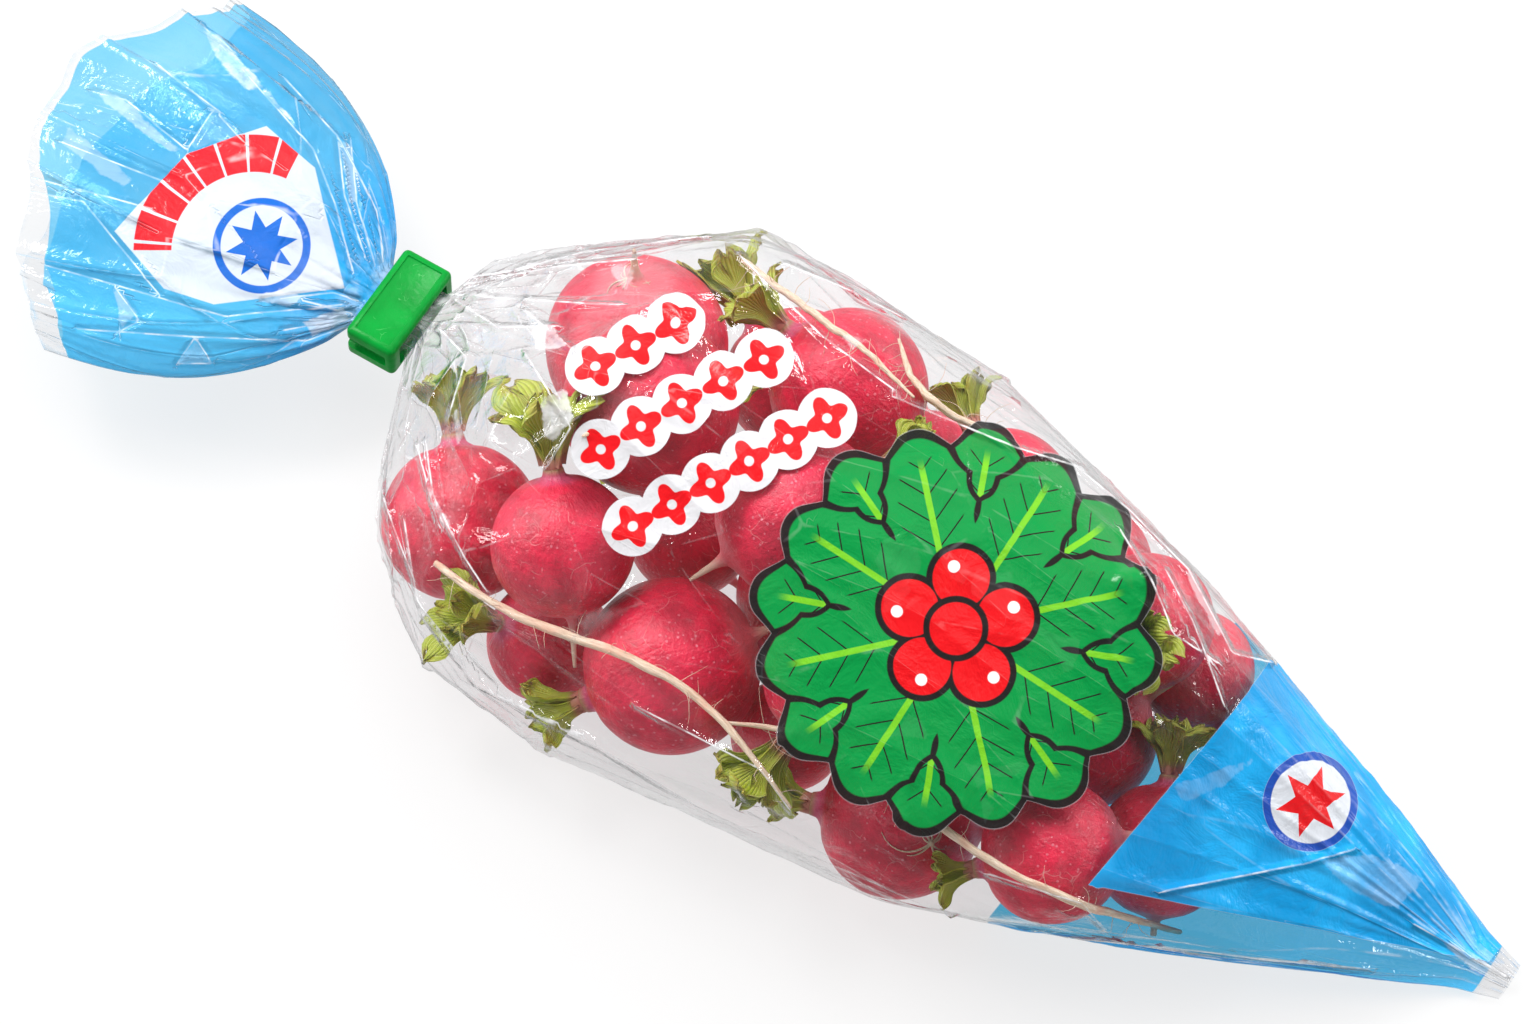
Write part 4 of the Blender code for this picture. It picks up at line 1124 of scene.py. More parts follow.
def spread_directions(count):
    """Even directions over a sphere, on a golden-angle spiral."""
    step = np.arange(count) + 0.5
    rise = np.arccos(1.0 - 2.0 * step / count)
    turn = math.pi * (1.0 + math.sqrt(5.0)) * step
    return np.stack((np.cos(turn) * np.sin(rise), np.sin(turn) * np.sin(rise), np.cos(rise)), axis=1)


def oval(x, height, halves, count=24):
    """A ring of points round the bag's axis."""
    turns = turns_round(count)
    across, rise = halves[0] * np.cos(turns), halves[1] * np.sin(turns)
    return np.stack((np.full(count, x), across, height + rise), axis=1)


def oval_reach(aims, halves):
    """How far an oval's edge is along each aim."""
    return 1.0 / np.sqrt((aims[:, 1] / halves[0]) ** 2 + (aims[:, 2] / halves[1]) ** 2)


def blur(grid, rounds=1):
    """Even out a grid that is held at its ends and closed round the bag."""
    for _ in range(rounds):
        after = np.vstack((grid[1:], grid[-1:]))
        before = np.vstack((grid[:1], grid[:-1]))
        grid = (grid * 4.0 + after + before + np.roll(grid, 1, axis=1) + np.roll(grid, -1, axis=1)) / 8.0
    return grid


def contents_reach(origins, aims, loose):
    """How far out the radishes and loose points stand, ray by ray."""
    reach = np.zeros((len(origins), len(aims)))
    for centre, radius in zip(CENTRES, RADII):
        towards = centre - origins
        along = towards @ aims.T
        room = (radius + FILM_GAP) ** 2 - (towards ** 2).sum(axis=1)[:, None] + along ** 2
        reach = np.maximum(reach, np.where(room > 0.0, along + np.sqrt(np.maximum(room, 0.0)), 0.0))
    row = np.searchsorted(origins[:, 0], loose[:, 0]).clip(0, len(origins) - 1)
    away = loose - origins[row]
    turn = np.arctan2(away[:, 2], away[:, 1] / AIM_WIDTH) % ROUND
    column = (turn / ROUND * len(aims)).astype(int)
    far = np.hypot(away[:, 1], away[:, 2]) + 0.25
    for rows in (-1, 0, 1):
        for columns in (-1, 0, 1):
            cells = (row + rows).clip(0, len(origins) - 1), (column + columns) % len(aims)
            np.maximum.at(reach, cells, far)
    return reach


def wrapped(value, period):
    """A difference round a ring, the short way."""
    return (value + period / 2.0) % period - period / 2.0


def crumple(u, v, far, period, seeds, random):
    """Cells of crumpled film: depth inside a cell, that depth signed for its edge, the cell and its tilt."""
    seeds_u = random.uniform(-0.2, far, seeds)
    seeds_v = random.uniform(0, period, seeds)
    nearest, second = np.full(u.shape, 1e9), np.full(u.shape, 1e9)
    cell, other = np.zeros(u.shape, dtype=int), np.zeros(u.shape, dtype=int)
    for index in range(seeds):
        distance = np.hypot(u - seeds_u[index], wrapped(v - seeds_v[index], period))
        closer = distance < nearest
        middle = ~closer & (distance < second)
        other = np.where(closer, cell, np.where(middle, index, other))
        second = np.where(closer, nearest, np.where(middle, distance, second))
        nearest = np.where(closer, distance, nearest)
        cell = np.where(closer, index, cell)
    gap = second - nearest
    return gap, np.where(cell < other, gap, -gap), cell, random.uniform(-1.0, 1.0, seeds)[cell]


def line_distance(right, up, lines, front):
    """Signed distance to the nearest of some bent lines, and how near it is, on the upper layer."""
    best = np.full(right.shape, 9.0)
    for line in lines:
        for (x0, y0), (x1, y1) in zip(line, line[1:]):
            dx, dy = x1 - x0, y1 - y0
            along = np.clip(((right - x0) * dx + (up - y0) * dy) / math.hypot(dx, dy) ** 2, 0.0, 1.0)
            away = np.hypot(right - x0 - along * dx, up - y0 - along * dy)
            side = np.where((right - x0) * dy - (up - y0) * dx > 0.0, 1.0, -1.0)
            best = np.where(away < np.abs(best), away * side, best)
    return best, np.clip(1.6 - np.abs(best), 0.0, 1.0) * front


def glare_facet_depth(right, up, facets, front):
    """How far inside the painted reflection patches of flat facets a point is, and how white that patch is.
    """
    depth = np.full(right.shape, -2.0)
    white = np.zeros(right.shape)
    for corners, value in facets:
        x, y = np.array(corners).T
        turn = 1.0 if (x * np.roll(y, -1) - y * np.roll(x, -1)).sum() > 0.0 else -1.0
        inside = np.full(right.shape, 9.0)
        for x0, y0, x1, y1 in zip(x, y, np.roll(x, -1), np.roll(y, -1)):
            across = (x1 - x0) * (up - y0) - (y1 - y0) * (right - x0)
            inside = np.minimum(inside, turn * across / math.hypot(x1 - x0, y1 - y0))
        white = np.where(inside > depth, value, white)
        depth = np.maximum(depth, inside)
    return np.where(front > 0.5, depth, -2.0), white


def fold_ridges(u, v, period, random):
    """Ridges of the tension folds that run along the bag."""
    height = np.zeros(u.shape)
    for count, starts, lengths, drift, widths, heights, way in FOLD_SETS:
        for _ in range(count):
            u0, v0 = random.uniform(*starts), random.uniform(0.0, 201.0)
            length = random.uniform(*lengths)
            du, dv = way * length, random.normal(0.0, drift) * length
            width, tall = random.uniform(*widths), random.uniform(*heights)
            across_v = wrapped(v - v0, period)
            length = math.hypot(du, dv)
            along = ((u - u0) * du + across_v * dv) / length
            off = np.abs((u - u0) * dv - across_v * du) / length
            fade = np.clip(np.minimum(along, length - along) / (0.35 * length), 0.0, 1.0)
            height = np.maximum(height, tall * fade * np.clip(1.0 - off / width, 0.0, 1.0))
    return height


def body_surface(settings):
    """The bag's body as a grid of points round its contents, with what its material reads."""
    rows, columns = settings.rows, settings.columns
    turns = turns_round(columns)
    steps = np.linspace(0.0, 1.0, rows)
    first = NECK_REACH - 8.0
    stations = first + (TIP_X - first) * (0.72 * steps + 0.28 * steps ** 1.6)
    heights = np.interp(stations, *np.array(BODY_MIDDLES, dtype=float).T)
    origins = np.stack((stations, np.zeros(rows), heights), axis=1)
    aims = np.stack((np.zeros(columns), AIM_WIDTH * np.cos(turns), np.sin(turns)), axis=1)
    aims /= np.linalg.norm(aims, axis=1)[:, None]
    loose = np.vstack((piece_points("leaf_tuft_", 3), piece_points("long_root_", 2)))
    directions = spread_directions(260)
    hull = [centre + directions * (radius + FILM_GAP) for centre, radius in zip(CENTRES, RADII)]
    hull += [loose[::4] + (0.0, 0.0, FILM_GAP), [seen_at(*point) for point in LOWER_FOLD + UPPER_FOLD],
             oval(NECK_REACH, NECK_HEIGHT, NECK_HALF), oval(SEAL_X, SEAL_HEIGHT, SEAL_HALF)]
    normals, offsets = hull_planes(np.vstack(hull))
    slope = aims @ normals.T
    reach = np.zeros((rows, columns))
    for index, origin in enumerate(origins):
        room = offsets - normals @ origin
        reach[index] = np.where(slope > 1e-6, room[None] / np.maximum(slope, 1e-6), 1e9).min(axis=1)
    reach = np.clip(reach, 0.5, 90.0)
    at_neck, past = stations <= NECK_REACH, stations >= SEAL_X
    share = ((stations[past] - SEAL_X) / (TIP_X - SEAL_X))[:, None]
    reach[at_neck] = oval_reach(aims, NECK_HALF)
    reach[past] = oval_reach(aims, SEAL_HALF) * (1.0 - share) + oval_reach(aims, TIP_HALF) * share
    inside = contents_reach(origins, aims, loose)
    inside[at_neck] = 0.0
    taut = blur(reach, 6)
    slack = taut
    free = ~(at_neck | past)
    for _ in range(260):
        slack = np.maximum(blur(slack), inside)
        slack[~free] = reach[~free]
    fold = np.abs(np.cos(turns))[None] ** 6
    sag = settings.sag * (1.0 - fold) * (1.0 - smoothstep(190.0, 208.0, stations))[:, None]
    reach = np.where(free[:, None], taut * (1.0 - sag) + slack * sag, reach)
    smooth = origins[:, None] + aims[None] * reach[:, :, None]
    station = np.broadcast_to(stations[:, None], reach.shape)
    cells, haze, relief = body_relief(station, np.broadcast_to(turns[None], reach.shape), reach, settings)
    reach = reach + relief * smoothstep(NECK_REACH - 1.0, NECK_REACH + 7.0, station)
    points = origins[:, None] + aims[None] * np.maximum(reach, inside)[:, :, None]
    points[:, :, 2] = np.maximum(points[:, :, 2], LOWEST)
    return points, smooth, turns, cells, haze, station


def body_relief(station, turn, reach, settings):
    """The film's crumple cells, its milky whitening with painted glare, and its relief: gathers at the neck,
    crumples, tension folds.
    """
    random = np.random.default_rng(77)
    size = settings.crease / MM
    from_neck = np.clip(station - NECK_REACH, 0.0, None)
    gathers = np.zeros_like(reach)
    for waves in (7, 11, 16, 23, 31):
        drift = random.uniform(-0.5, 0.5) * np.log1p(from_neck / 8.0)
        gathers += np.abs(np.sin(turn * waves / 2.0 + random.uniform(0, 6.28) + drift)) * 9.0 / waves
    gathers = (gathers / 3.0 - 0.6) * reach * 0.16 * np.exp(-from_neck / 16.0)
    # Radiating facets: even cells in the logarithm of the distance from the neck
    u = np.log((from_neck + 9.0) / 9.0) * 1.9
    seeds = 190
    gap, signed, cell, tilt = crumple(u, turn * 3.2, 6.2, 6.4 * math.pi, seeds, random)
    facets = np.clip(1.0 - gap * 3.2, 0.0, 1.0) ** 2 * 1.1 + tilt * np.clip(gap, 0.0, 0.5)
    local = np.clip(reach, 4.0, 40.0) / 40.0
    calm = 0.35 + 1.6 * np.exp(-from_neck / 24.0) + 0.5 * smoothstep(170.0, 225.0, station)
    facets = facets * size * calm * (0.35 + local)
    ridges = fold_ridges(station, 32.0 * turn, 64.0 * math.pi, random)
    relief = gathers + facets + ridges * size * (0.5 + local)
    weight = np.clip(1.0 - gap * 4.0, 0.0, 1.0) * np.clip(calm - 0.25, 0.12, 1.0)
    pale = (random.uniform(0.0, 1.0, seeds)[cell] < 0.30) * np.clip(gap * 5.0, 0.0, 1.0)
    # Milky whitening with painted glare: strongest at the neck, painted highlights along the fold ridges, and
    # pale crumple cells near the neck
    haze = np.maximum(0.35 * np.exp(-from_neck / 9.0), ridges ** 3 * 0.35)
    haze = np.maximum(haze, pale * 0.55 * np.exp(-(from_neck / 22.0) ** 2))
    return (signed * np.maximum(reach * 0.32, 0.8), weight), haze, relief


def fold_wave(turn, creases, depths):
    """Flat-sided folds round the bag: straight from crease to crease."""
    order = np.argsort(creases)
    at = np.concatenate([creases[order] + whole for whole in (-ROUND, 0.0, ROUND)])
    return np.interp(turn.ravel(), at, np.tile(depths[order], 3)).reshape(turn.shape)


def collar_surface():
    """The open collar past the clip: a gathered fan of film in flat folds."""
    random = np.random.default_rng(31)
    rows, columns = COLLAR_GRID
    turns = turns_round(columns)
    share, turn = np.meshgrid(np.linspace(0.0, 1.0, rows), turns, indexing="ij")
    opened = np.clip((share - IN_CLIP) / (1.0 - IN_CLIP), 0.0, 1.0)
    flare = (1.0 - np.exp(-COLLAR_FLARE * opened)) / (1.0 - math.exp(-COLLAR_FLARE))
    mouth = COLLAR_REACH - (COLLAR_CORNER_CUT - 7.0 * (np.cos(turn) > 0.0)) * np.cos(turn) ** 2
    mouth = mouth * (1.0 + 0.018 * np.sin(turn * 5 + 1.0) + 0.012 * np.sin(turn * 11))
    folds = np.zeros_like(turn)
    for count, tall, reach in ((11, 0.19, 0.30), (19, 0.12, 0.12), (9, 0.13, 0.55)):
        creases = np.arange(count) * ROUND / count + random.uniform(-0.16, 0.16, count)
        depths = np.where(np.arange(count) % 2 == 0, 1.0, -1.0) * random.uniform(0.35, 1.0, count)
        wave = fold_wave((turn + 0.10 * np.sin(opened * 3.0 + count)) % ROUND, creases, depths)
        folds += wave * tall * smoothstep(0.0, reach, opened)
    gather = np.zeros_like(folds)
    for waves in (15, 23, 34):
        gather += np.abs(np.sin(turn * waves / 2.0 + random.uniform(0, 6.28) + opened * 1.5)) * 5.0 / waves
    gather = (gather - 0.40) * np.exp(-opened * 8.0) * smoothstep(0.0, 0.05, opened) * 0.62
    u = np.log((opened * COLLAR_REACH + 7.0) / 7.0) * 1.25
    gap, signed, _, tilt = crumple(u, turn * 3.1, 3.1, 6.2 * math.pi, 84, random)
    facets = (np.clip(1.0 - gap * 4.0, 0.0, 1.0) ** 2 * 0.8 + tilt * np.clip(gap, 0.0, 0.4) * 2.0) * 0.075
    facing = 0.18 + 0.82 * np.sin(turn) ** 2
    ruffle = 1.0 + (folds * 0.55 + facets) * facing * smoothstep(0.0, 0.2, opened) + gather
    half_width, half_height = (low + (high - low) * flare for low, high in zip(NECK_HALF, COLLAR_HALF))
    wind = turn + 0.16 * folds * smoothstep(0.05, 0.5, opened) * np.sign(np.cos(turn))
    x = np.where(opened > 0.0, -NECK_REACH - (mouth - NECK_REACH) * opened,
                 2.0 - (NECK_REACH + 2.0) * share / IN_CLIP)
    points = np.stack((x, COLLAR_SIDE_SHIFT * opened + half_width * ruffle * np.cos(wind),
                       NECK_HEIGHT + half_height * ruffle * np.sin(wind)), axis=2)
    cells = (signed * np.maximum(half_width * 0.33, 1.0), np.clip(1.0 - gap * 4.0, 0.0, 1.0) * 0.8)
    # Milky whitening with painted glare where the collar gathers into the clip, and a painted highlight line
    # along the mouth's edge
    haze = 0.45 * np.exp(-opened * 11.0) + 0.5 * smoothstep(0.985, 1.0, share)
    clear_rim = 0.075 * smoothstep(-0.2, -0.85, np.cos(turn)) + 0.022
    return points, points, turns, cells, haze, share + clear_rim - 0.10


def polygon_mask(right, up, corners, soften=0.12):
    """1 inside a convex shape given by its corners, listed anticlockwise."""
    sides = []
    for (x0, y0), (x1, y1) in zip(corners, corners[1:] + corners[:1]):
        length = math.hypot(x1 - x0, y1 - y0)
        nx, ny = (y1 - y0) / length, (x0 - x1) / length
        sides.append(right * nx + up * ny - (nx * x0 + ny * y0))
    return right.tree.under(right.tree.highest(*sides), 0.0, soften)


def star_marks(right, up, at, size, points):
    """Masks of a many-pointed star, the ring round it and the disc under both."""
    radius, along, across = petal_turn(*local_axes(right, up, at, 11.0), points)
    tree = right.tree
    disc = tree.under(radius, size * 1.34)
    return tree.under(abs(across) * 2.6 + along, size), tree.over(radius, size * 1.12) * disc, disc


def body_ink(tree, settings):
    """Prints of the bag's body: bands, rosette and the blue tip with its medallion."""
    red, dark, green = (tuple(ink) for ink in (settings.red, settings.dark, settings.green))
    where, station = tree.value("place", "Vector"), tree.value("station")
    right, up, front = tree.split(where)
    band, band_mask = tree.use("Blossom bands", where, red)
    rose, rose_mask = tree.use("Rosette", where, dark, green, red)
    patchy = tree.ramp(tree.noise(tree.place(), 60.0), 0.35, 0.70)
    star, ring, disc = star_marks(right, up, (158.8, -85.6), 6.3, 6)
    mark = tree.coats(darker(settings.blue, 0.85), (patchy, (0.02, 0.46, 0.92)), (disc, FIELD_WHITE),
                      (ring, (0.01, 0.07, 0.40)), (star, red))
    tip_front = polygon_mask(right, up, TIP_CORNERS) * front
    tip_back = tree.over(right * 0.762 - up * 0.648, 148.0, 0.15) * (1.0 - front)
    tip = tree.mix(tip_front, (0.05, 0.50, 1.0), mark)
    colour = tree.coats(band, (rose_mask, rose), (tree.highest(tip_front, tip_back), tip))
    sealed = tree.ramp(station, 224.6, 224.3)
    cover = tree.highest(band_mask * 0.96, rose_mask * 0.97, tip_front * sealed * 0.97,
                         tip_back * sealed * 0.30)
    return colour, cover, tree.mix(tip_back * sealed, CLEAR, BLUE_TINT)


def collar_ink(tree, settings):
    """Prints of the collar: blue film, a white panel with a red arc and a blue star."""
    right, up, front = tree.split(tree.value("place", "Vector"))
    share = tree.value("station")
    panel = polygon_mask(right, up, PANEL_CORNERS) * front
    edge = tree.ramp(share, 0.902, 0.898)
    deep = tree.ramp(share, 0.42, 0.10)
    patchy = tree.ramp(tree.noise(tree.place(), 70.0), 0.35, 0.70)
    u, v = local_axes(right, up, (-25.9, 10.6), 0.0)
    angle = tree.math("DEGREES", tree.math("ARCTAN2", v, u))
    arc = tree.under(abs(length_of(u, v) - 17.6), 3.4) * tree.under(abs(angle - 123.0), 56.7, 0.3)
    beads = abs(tree.math("FRACT", (angle + 4.0) / 16.3) - 0.5)
    arc = arc * tree.ramp(beads, 0.46, 0.44)
    star, ring, _ = star_marks(right, up, (-24.3, 11.6), 6.4, 8)
    marks = tree.coats(FIELD_WHITE, (arc, tuple(settings.red)), (tree.highest(star, ring), NAVY))
    colour = tree.coats((0.04, 0.32, 0.56), (patchy, (0.10, 0.38, 0.58)),
                        # Lighter blue lower in the view: painted light that lifts the shaded lower side of
                        # the collar
                        (tree.ramp(up, 16.0, -6.0), (0.08, 0.50, 0.80)),
                        (deep * 0.8, tuple(settings.blue)), (panel, marks))
    drawn = tree.highest(arc, star, ring)
    cover = tree.blend(panel, deep * 0.26 + 0.52, tree.blend(drawn, 0.76, 0.96))
    return colour, cover * edge, tree.mix(edge * (1.0 - panel), CLEAR, COLLAR_TINT)


def film_material(name, ink, settings):
    """Clear glossy film with its prints: ink gives their colour and cover, and the film's tint."""
    material, tree, shader = new_material(name)
    colour, cover, tint = ink(tree, settings)
    place = tree.place()
    white, relief = tree.use("Film creases", place, tree.value("lines", "Vector"),
                             tree.value("weights", "Vector"), tree.value("haze"))
    ripple = tree.noise(place, 110.0, 4.0, 0.6, 0.6)
    normal = tree.bump(ripple + relief * 0.8, 0.8, 0.0010)
    facing = tree.out("ShaderNodeLayerWeight", "Facing", {"Blend": 0.5, "Normal": normal})
    mirror = tree.math("MULTIPLY_ADD", tree.math("POWER", facing, 5.0), 0.92, 0.04)
    # Clear film greyer towards grazing angles: painted shade at the film's edges
    tint = tree.mix(tree.ramp(facing, 0.60, 0.98, 0.0, 0.50), tint, GRAZING_SHADE_TINT)
    clear = tree.out("ShaderNodeBsdfTransparent", 0, {"Color": tint})
    shine = tree.out("ShaderNodeBsdfGlossy", 0, {"Color": WHITE, "Roughness": 0.09, "Normal": normal})
    film = tree.mix_shaders(tree.math("MULTIPLY", mirror, 1.15, use_clamp=True), clear, shine)
    # Where the creases give white, the film turns a whitish opaque sheet: whitened film with painted
    # highlights and painted reflections
    tree.feed(shader, {"Base Color": tree.mix(white * 0.9, colour, (0.90, 0.90, 0.91)), "Roughness": 0.22,
                       "Specular IOR Level": 0.3, "Normal": normal})
    tree.show(tree.mix_shaders(tree.highest(cover, white), film, Wire(tree, shader.outputs[0])))
    return material


def add_film(name, surface, lines, facets, material, settings, replaced=()):
    """One film piece from its grid, with what its material reads stored on its points."""
    points, smooth, turns, cells, haze, station = surface
    rows, columns = haze.shape
    flat = points.reshape(-1, 3)
    right, up = in_view(flat)
    front = np.tile(np.sin(turns) > 0.0, rows).astype(float)
    distance, near = line_distance(right, up, lines, front)
    depth, white = glare_facet_depth(right, up, facets, front)
    ridge = np.clip(1.0 - np.abs(distance) / 1.2, 0.0, 1.0) * near * settings.crease / MM * 0.35
    around = np.roll(points, -1, axis=1) - np.roll(points, 1, axis=1)
    normal = np.cross(around, np.gradient(points, axis=0)).reshape(-1, 3)
    normal /= np.maximum(np.linalg.norm(normal, axis=1), 1e-9)[:, None]
    normal *= np.where((normal @ BACK) * (front - 0.5) < 0.0, -1.0, 1.0)[:, None]
    parts = MeshParts()
    parts.add(flat + normal * (ridge * (haze.ravel() < 0.3))[:, None], ring_faces(rows, columns),
              station=station.ravel(), haze=haze.ravel(),
              place=np.stack((*in_view(smooth.reshape(-1, 3)), front), axis=1),
              lines=np.stack((cells[0].ravel(), distance, depth), axis=1),
              weights=np.stack((cells[1].ravel(), near, white), axis=1))
    parts.build(name, material, replaced)


class RADISH_OT_film(bpy.types.Operator):
    """Make the bag's film body and its open collar"""
    bl_idname = "radish_bag.film"
    bl_label = "Film bag"

    def execute(self, context):
        settings = context.scene.radish_film
        add_film("film_body", body_surface(settings), BODY_CREASES, BODY_GLARE_FACETS,
                 film_material("film_body", body_ink, settings), settings, ("bag_film",))
        add_film("film_collar", collar_surface(), COLLAR_CREASES, COLLAR_GLARE_FACETS,
                 film_material("film_collar", collar_ink, settings), settings)
        return {"FINISHED"}


# Clip


def clip_material(settings):
    """Moulded green plastic with a fine orange-peel surface."""
    material, tree, shader = new_material("clip")
    place = tree.place()
    peel = tree.noise(place, 900.0, 2.0)
    broad = tree.noise(place, 160.0)
    scratches, = tree.use("Scratches", place, 420.0, 0.010, 0.40)
    colour = tree.coats(darker(settings.colour, 0.86), (tree.ramp(broad, 0.3, 0.7), (0.001, 0.285, 0.034)),
                        (scratches * 0.25, (0.25, 0.75, 0.30)))
    tree.feed(shader, {"Base Color": colour, "Roughness": peel * 0.10 + scratches * 0.2 + 0.26,
                       "Normal": tree.bump(peel + broad * 2.0, 0.35, 0.0002), "Specular IOR Level": 0.15})
    return material


def block(low, high, rounding, segments):
    """A rounded box between two corners, in the bag's millimetres."""
    bm = bmesh.new()
    bmesh.ops.create_cube(bm, size=1.0)
    low, high = np.array(low), np.array(high)
    for vertex in bm.verts:
        vertex.co = Vector((low + (np.array(vertex.co) + 0.5) * (high - low) + OFFSET) * MM)
    bmesh.ops.bevel(bm, geom=bm.edges[:], offset=rounding * MM, segments=segments, affect="EDGES",
                    profile=0.5)
    mesh = bpy.data.meshes.new("block")
    bm.to_mesh(mesh)
    bm.free()
    thing = bpy.data.objects.new("block", mesh)
    bpy.context.scene.collection.objects.link(thing)
    return thing


def cut(thing, low, high, rounding):
    """Cut a rounded box out of an object."""
    cutter = block(low, high, rounding, 3)
    modifier = thing.modifiers.new("cut", "BOOLEAN")
    modifier.operation = "DIFFERENCE"
    modifier.solver = "EXACT"
    modifier.object = cutter
    bpy.context.view_layer.update()
    evaluated = thing.evaluated_get(bpy.context.evaluated_depsgraph_get())
    mesh = bpy.data.meshes.new_from_object(evaluated)
    thing.modifiers.clear()
    thing.data = mesh
    bpy.data.objects.remove(cutter)


class RADISH_OT_clip(bpy.types.Operator):
    """Make the clip that closes the neck"""
    bl_idname = "radish_bag.clip"
    bl_label = "Neck clip"

    def execute(self, context):
        settings = context.scene.radish_clip
        half = np.array(CLIP_SIZE) / 2.0
        clip = block(NECK_MIDDLE - half, NECK_MIDDLE + half, settings.edge / MM, 5)
        hole = np.array((half[0] + 1.0, CLIP_HOLE[0] / 2.0, CLIP_HOLE[1] / 2.0))
        cut(clip, NECK_MIDDLE - hole, NECK_MIDDLE + hole, 0.5)
        # The sunken tray on top, the slot in the side and the latch notch in the end
        tray = half[:2] - 1.35
        top = NECK_HEIGHT + half[2]
        cut(clip, (-tray[0], -tray[1], top - 0.28), (tray[0], tray[1], top + 2.0), 0.26)
        cut(clip, (-half[0] - 1.0, -half[1] - 1.0, NECK_HEIGHT - 1.5),
            (-half[0] + 8.4, -half[1] + 1.3, NECK_HEIGHT + 1.5), 0.3)
        cut(clip, (half[0] - 0.7, half[1] - 4.6, NECK_HEIGHT + 0.6),
            (half[0] + 1.0, half[1] - 2.6, NECK_HEIGHT + 2.6), 0.2)
        clip.name = "clip_body"
        clip.data.name = "clip_body"
        clip.data.materials.clear()
        clip.data.materials.append(clip_material(settings))
        clip.data.shade_smooth()
        clip.data.set_sharp_from_angle(angle=math.radians(38.0))
        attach(clip, "root")
        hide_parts("neck_clip")
        return {"FINISHED"}


# Stage


def add_light(name, place, target, size, power, shows=True):
    """A rectangular light that faces a point; shows says whether gloss mirrors it."""
    light = bpy.data.lights.new(name, "AREA")
    light.shape = "RECTANGLE"
    light.size, light.size_y = size
    light.energy = power
    lamp = bpy.data.objects.new(name, light)
    lamp.location = place
    lamp.rotation_euler = (Vector(target) - Vector(place)).to_track_quat("-Z", "Y").to_euler()
    lamp.visible_glossy = shows
    bpy.context.scene.collection.objects.link(lamp)


def make_floor(settings):
    """A pale, mostly glowing floor that gloss doesn't mirror and that is clear from below."""
    half = settings.floor_size / 2.0
    mesh = bpy.data.meshes.new("floor")
    corners = [(-half, -half, 0), (half, -half, 0), (half, half, 0), (-half, half, 0)]
    mesh.from_pydata(corners, [], [(0, 1, 2, 3)])
    material, tree, shader = new_material("floor")
    cloud = tree.noise(tree.place(), 3.0, 2.0)
    tree.feed(shader, {"Base Color": tree.mix(cloud, tuple(settings.floor), darker(settings.floor, 0.99)),
                       "Roughness": tree.ramp(cloud, 0.0, 1.0, 0.78, 0.82), "Emission Color": WHITE,
                       "Emission Strength": 0.76})
    below = tree.out("ShaderNodeNewGeometry", "Backfacing")
    clear = tree.out("ShaderNodeBsdfTransparent", 0)
    tree.show(tree.mix_shaders(below, Wire(tree, shader.outputs[0]), clear))
    mesh.materials.append(material)
    floor = bpy.data.objects.new("floor", mesh)
    floor.visible_glossy = False
    bpy.context.scene.collection.objects.link(floor)


def make_world():
    """A white studio, dimmer overhead and on the eye's side, bright below the horizon behind the bag."""
    world = bpy.data.worlds.new("studio")
    world.use_nodes = True
    sky = Tree(world.node_tree)
    x, y, height = sky.split(sky.out("ShaderNodeTexCoord", "Generated"))
    ahead = x * (BACK[0] / BACK[2]) + y * (BACK[1] / BACK[2])
    below = sky.ramp(ahead, -0.20, 0.20, 0.80, 0.30)
    band = sky.ramp(height, 0.75, 0.15, 0.30, 0.95) * sky.ramp(height, -0.10, 0.05, below, 1.0)
    sky.feed(world.node_tree.nodes["Background"],
             {"Color": WHITE, "Strength": band * sky.ramp(ahead, 0.05, 0.35, 1.0, 0.55)})
    bpy.context.scene.world = world


def make_camera(settings):
    """The camera, at the photograph's viewing angle."""
    camera = bpy.data.cameras.new("camera")
    camera.sensor_width = 36.0
    camera.lens = camera.sensor_width * settings.eye_distance / (VIEW_WIDTH * MM)
    camera.clip_end = 20.0
    eye = bpy.data.objects.new("camera", camera)
    target = (VIEW_CENTRE[0] * RIGHT + VIEW_CENTRE[1] * UP + NECK_MIDDLE + 12.0 * BACK + OFFSET) * MM
    turn = Matrix((RIGHT, UP, BACK)).transposed().to_4x4()
    eye.matrix_world = Matrix.Translation(Vector(target + BACK * settings.eye_distance)) @ turn
    bpy.context.scene.collection.objects.link(eye)
    bpy.context.scene.camera = eye


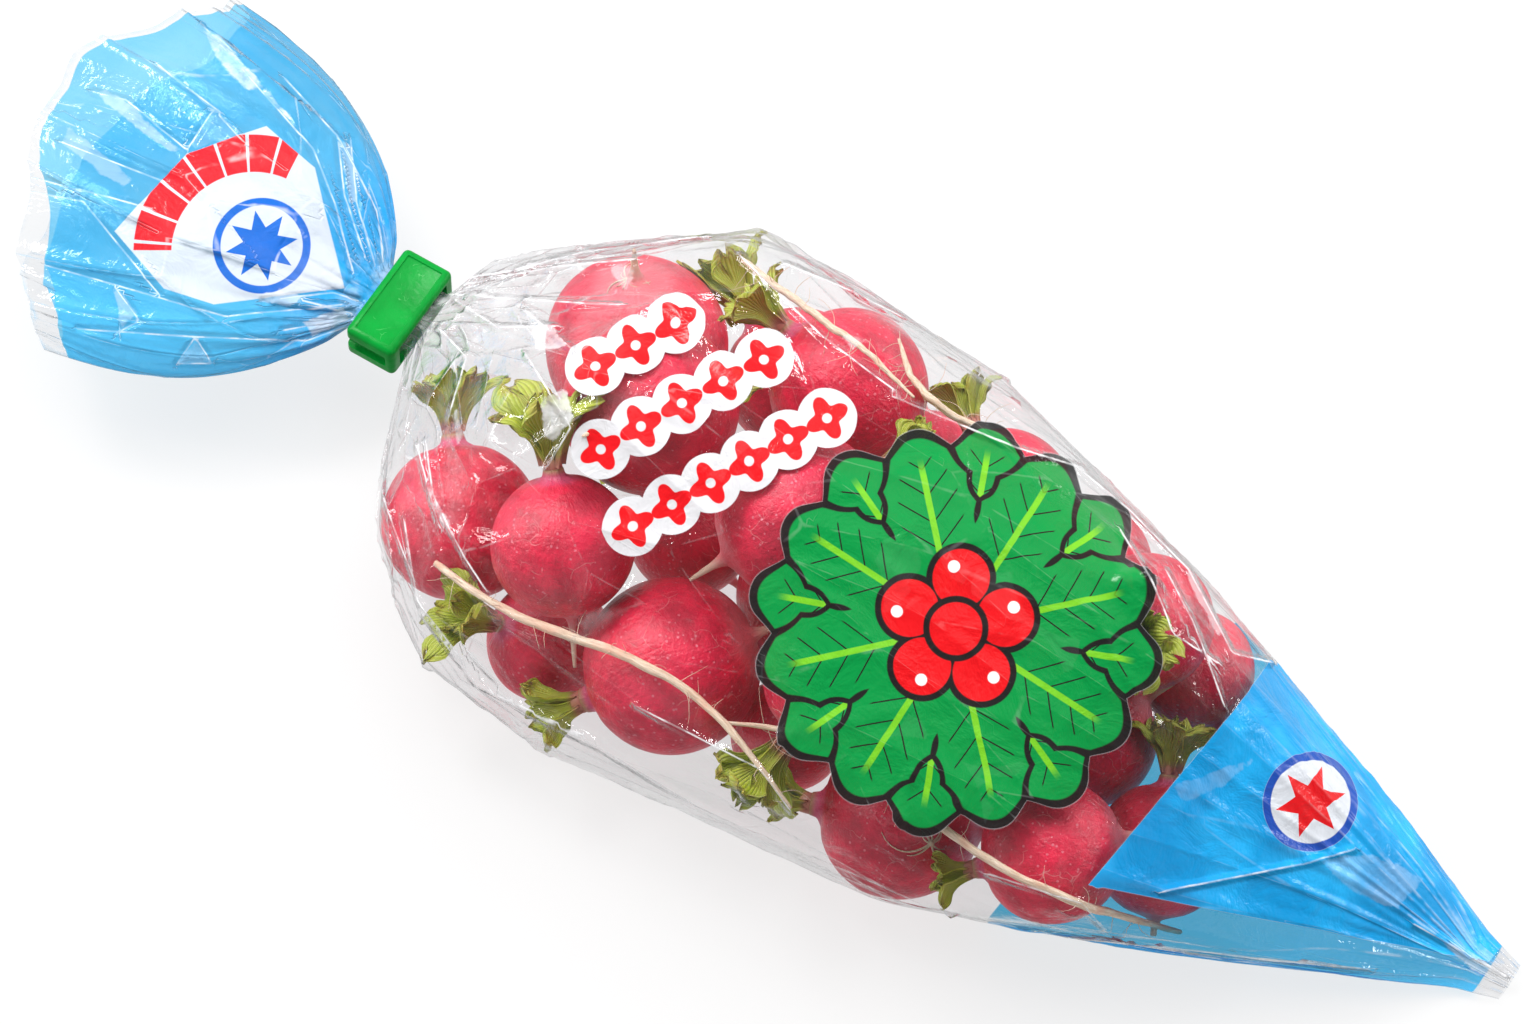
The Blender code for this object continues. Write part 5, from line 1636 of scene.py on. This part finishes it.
class RADISH_OT_stage(bpy.types.Operator):
    """Make the floor, the lights and the camera"""
    bl_idname = "radish_bag.stage"
    bl_label = "Stage"

    def execute(self, context):
        settings = context.scene.radish_stage
        make_floor(settings)
        make_world()
        glint = settings.glint
        add_light("key", (-0.05, 0.30, 1.10), (0.0, 0.0, 0.02), (1.10, 0.90), settings.key, shows=False)
        add_light("glint_top", (-0.55, 0.10, 0.86), (0.0, 0.0, 0.03), (0.34, 0.24), glint * 2.2)
        add_light("glint_left", (-0.62, -0.20, 0.42), (-0.03, 0.0, 0.03), (0.10, 0.60), glint)
        add_light("glint_right", (0.50, 0.52, 0.40), (0.0, 0.0, 0.03), (0.60, 0.10), glint)
        make_camera(settings)
        context.scene.view_settings.view_transform = "Standard"
        context.scene.cycles.transparent_max_bounces = 32
        return {"FINISHED"}


class RADISH_PT_panel(bpy.types.Panel):
    bl_idname = "RADISH_PT_panel"
    bl_label = "Bag of radishes"
    bl_space_type = "VIEW_3D"
    bl_region_type = "UI"
    bl_category = "Radishes"

    def draw(self, context):
        for key, (_, operators) in STEPS.items():
            box = self.layout.box()
            settings = getattr(context.scene, key)
            for name in settings.bl_rna.properties.keys():
                if name not in ("rna_type", "name"):
                    box.prop(settings, name)
            for operator in operators:
                box.operator(f"radish_bag.{operator}")


# Each settings group on the scene, its class, and the operators that read it, in their order
STEPS = {
    "radish_stage": (StageSettings, ("stage",)),
    "radish_heap": (HeapSettings, ("globes", "tufts", "roots")),
    "radish_film": (FilmSettings, ("film",)),
    "radish_clip": (ClipSettings, ("clip",)),
}
CLASSES = (HeapSettings, FilmSettings, ClipSettings, StageSettings, RADISH_OT_globes, RADISH_OT_tufts,
           RADISH_OT_roots, RADISH_OT_film, RADISH_OT_clip, RADISH_OT_stage, RADISH_PT_panel)


def register():
    for kind in CLASSES:
        bpy.utils.register_class(kind)
    for key, (kind, _) in STEPS.items():
        setattr(bpy.types.Scene, key, PointerProperty(type=kind))


def unregister():
    for key in STEPS:
        delattr(bpy.types.Scene, key)
    for kind in reversed(CLASSES):
        bpy.utils.unregister_class(kind)


def main():
    register()
    for _, operators in STEPS.values():
        for operator in operators:
            getattr(bpy.ops.radish_bag, operator)()


if __name__ == "__main__":
    main()
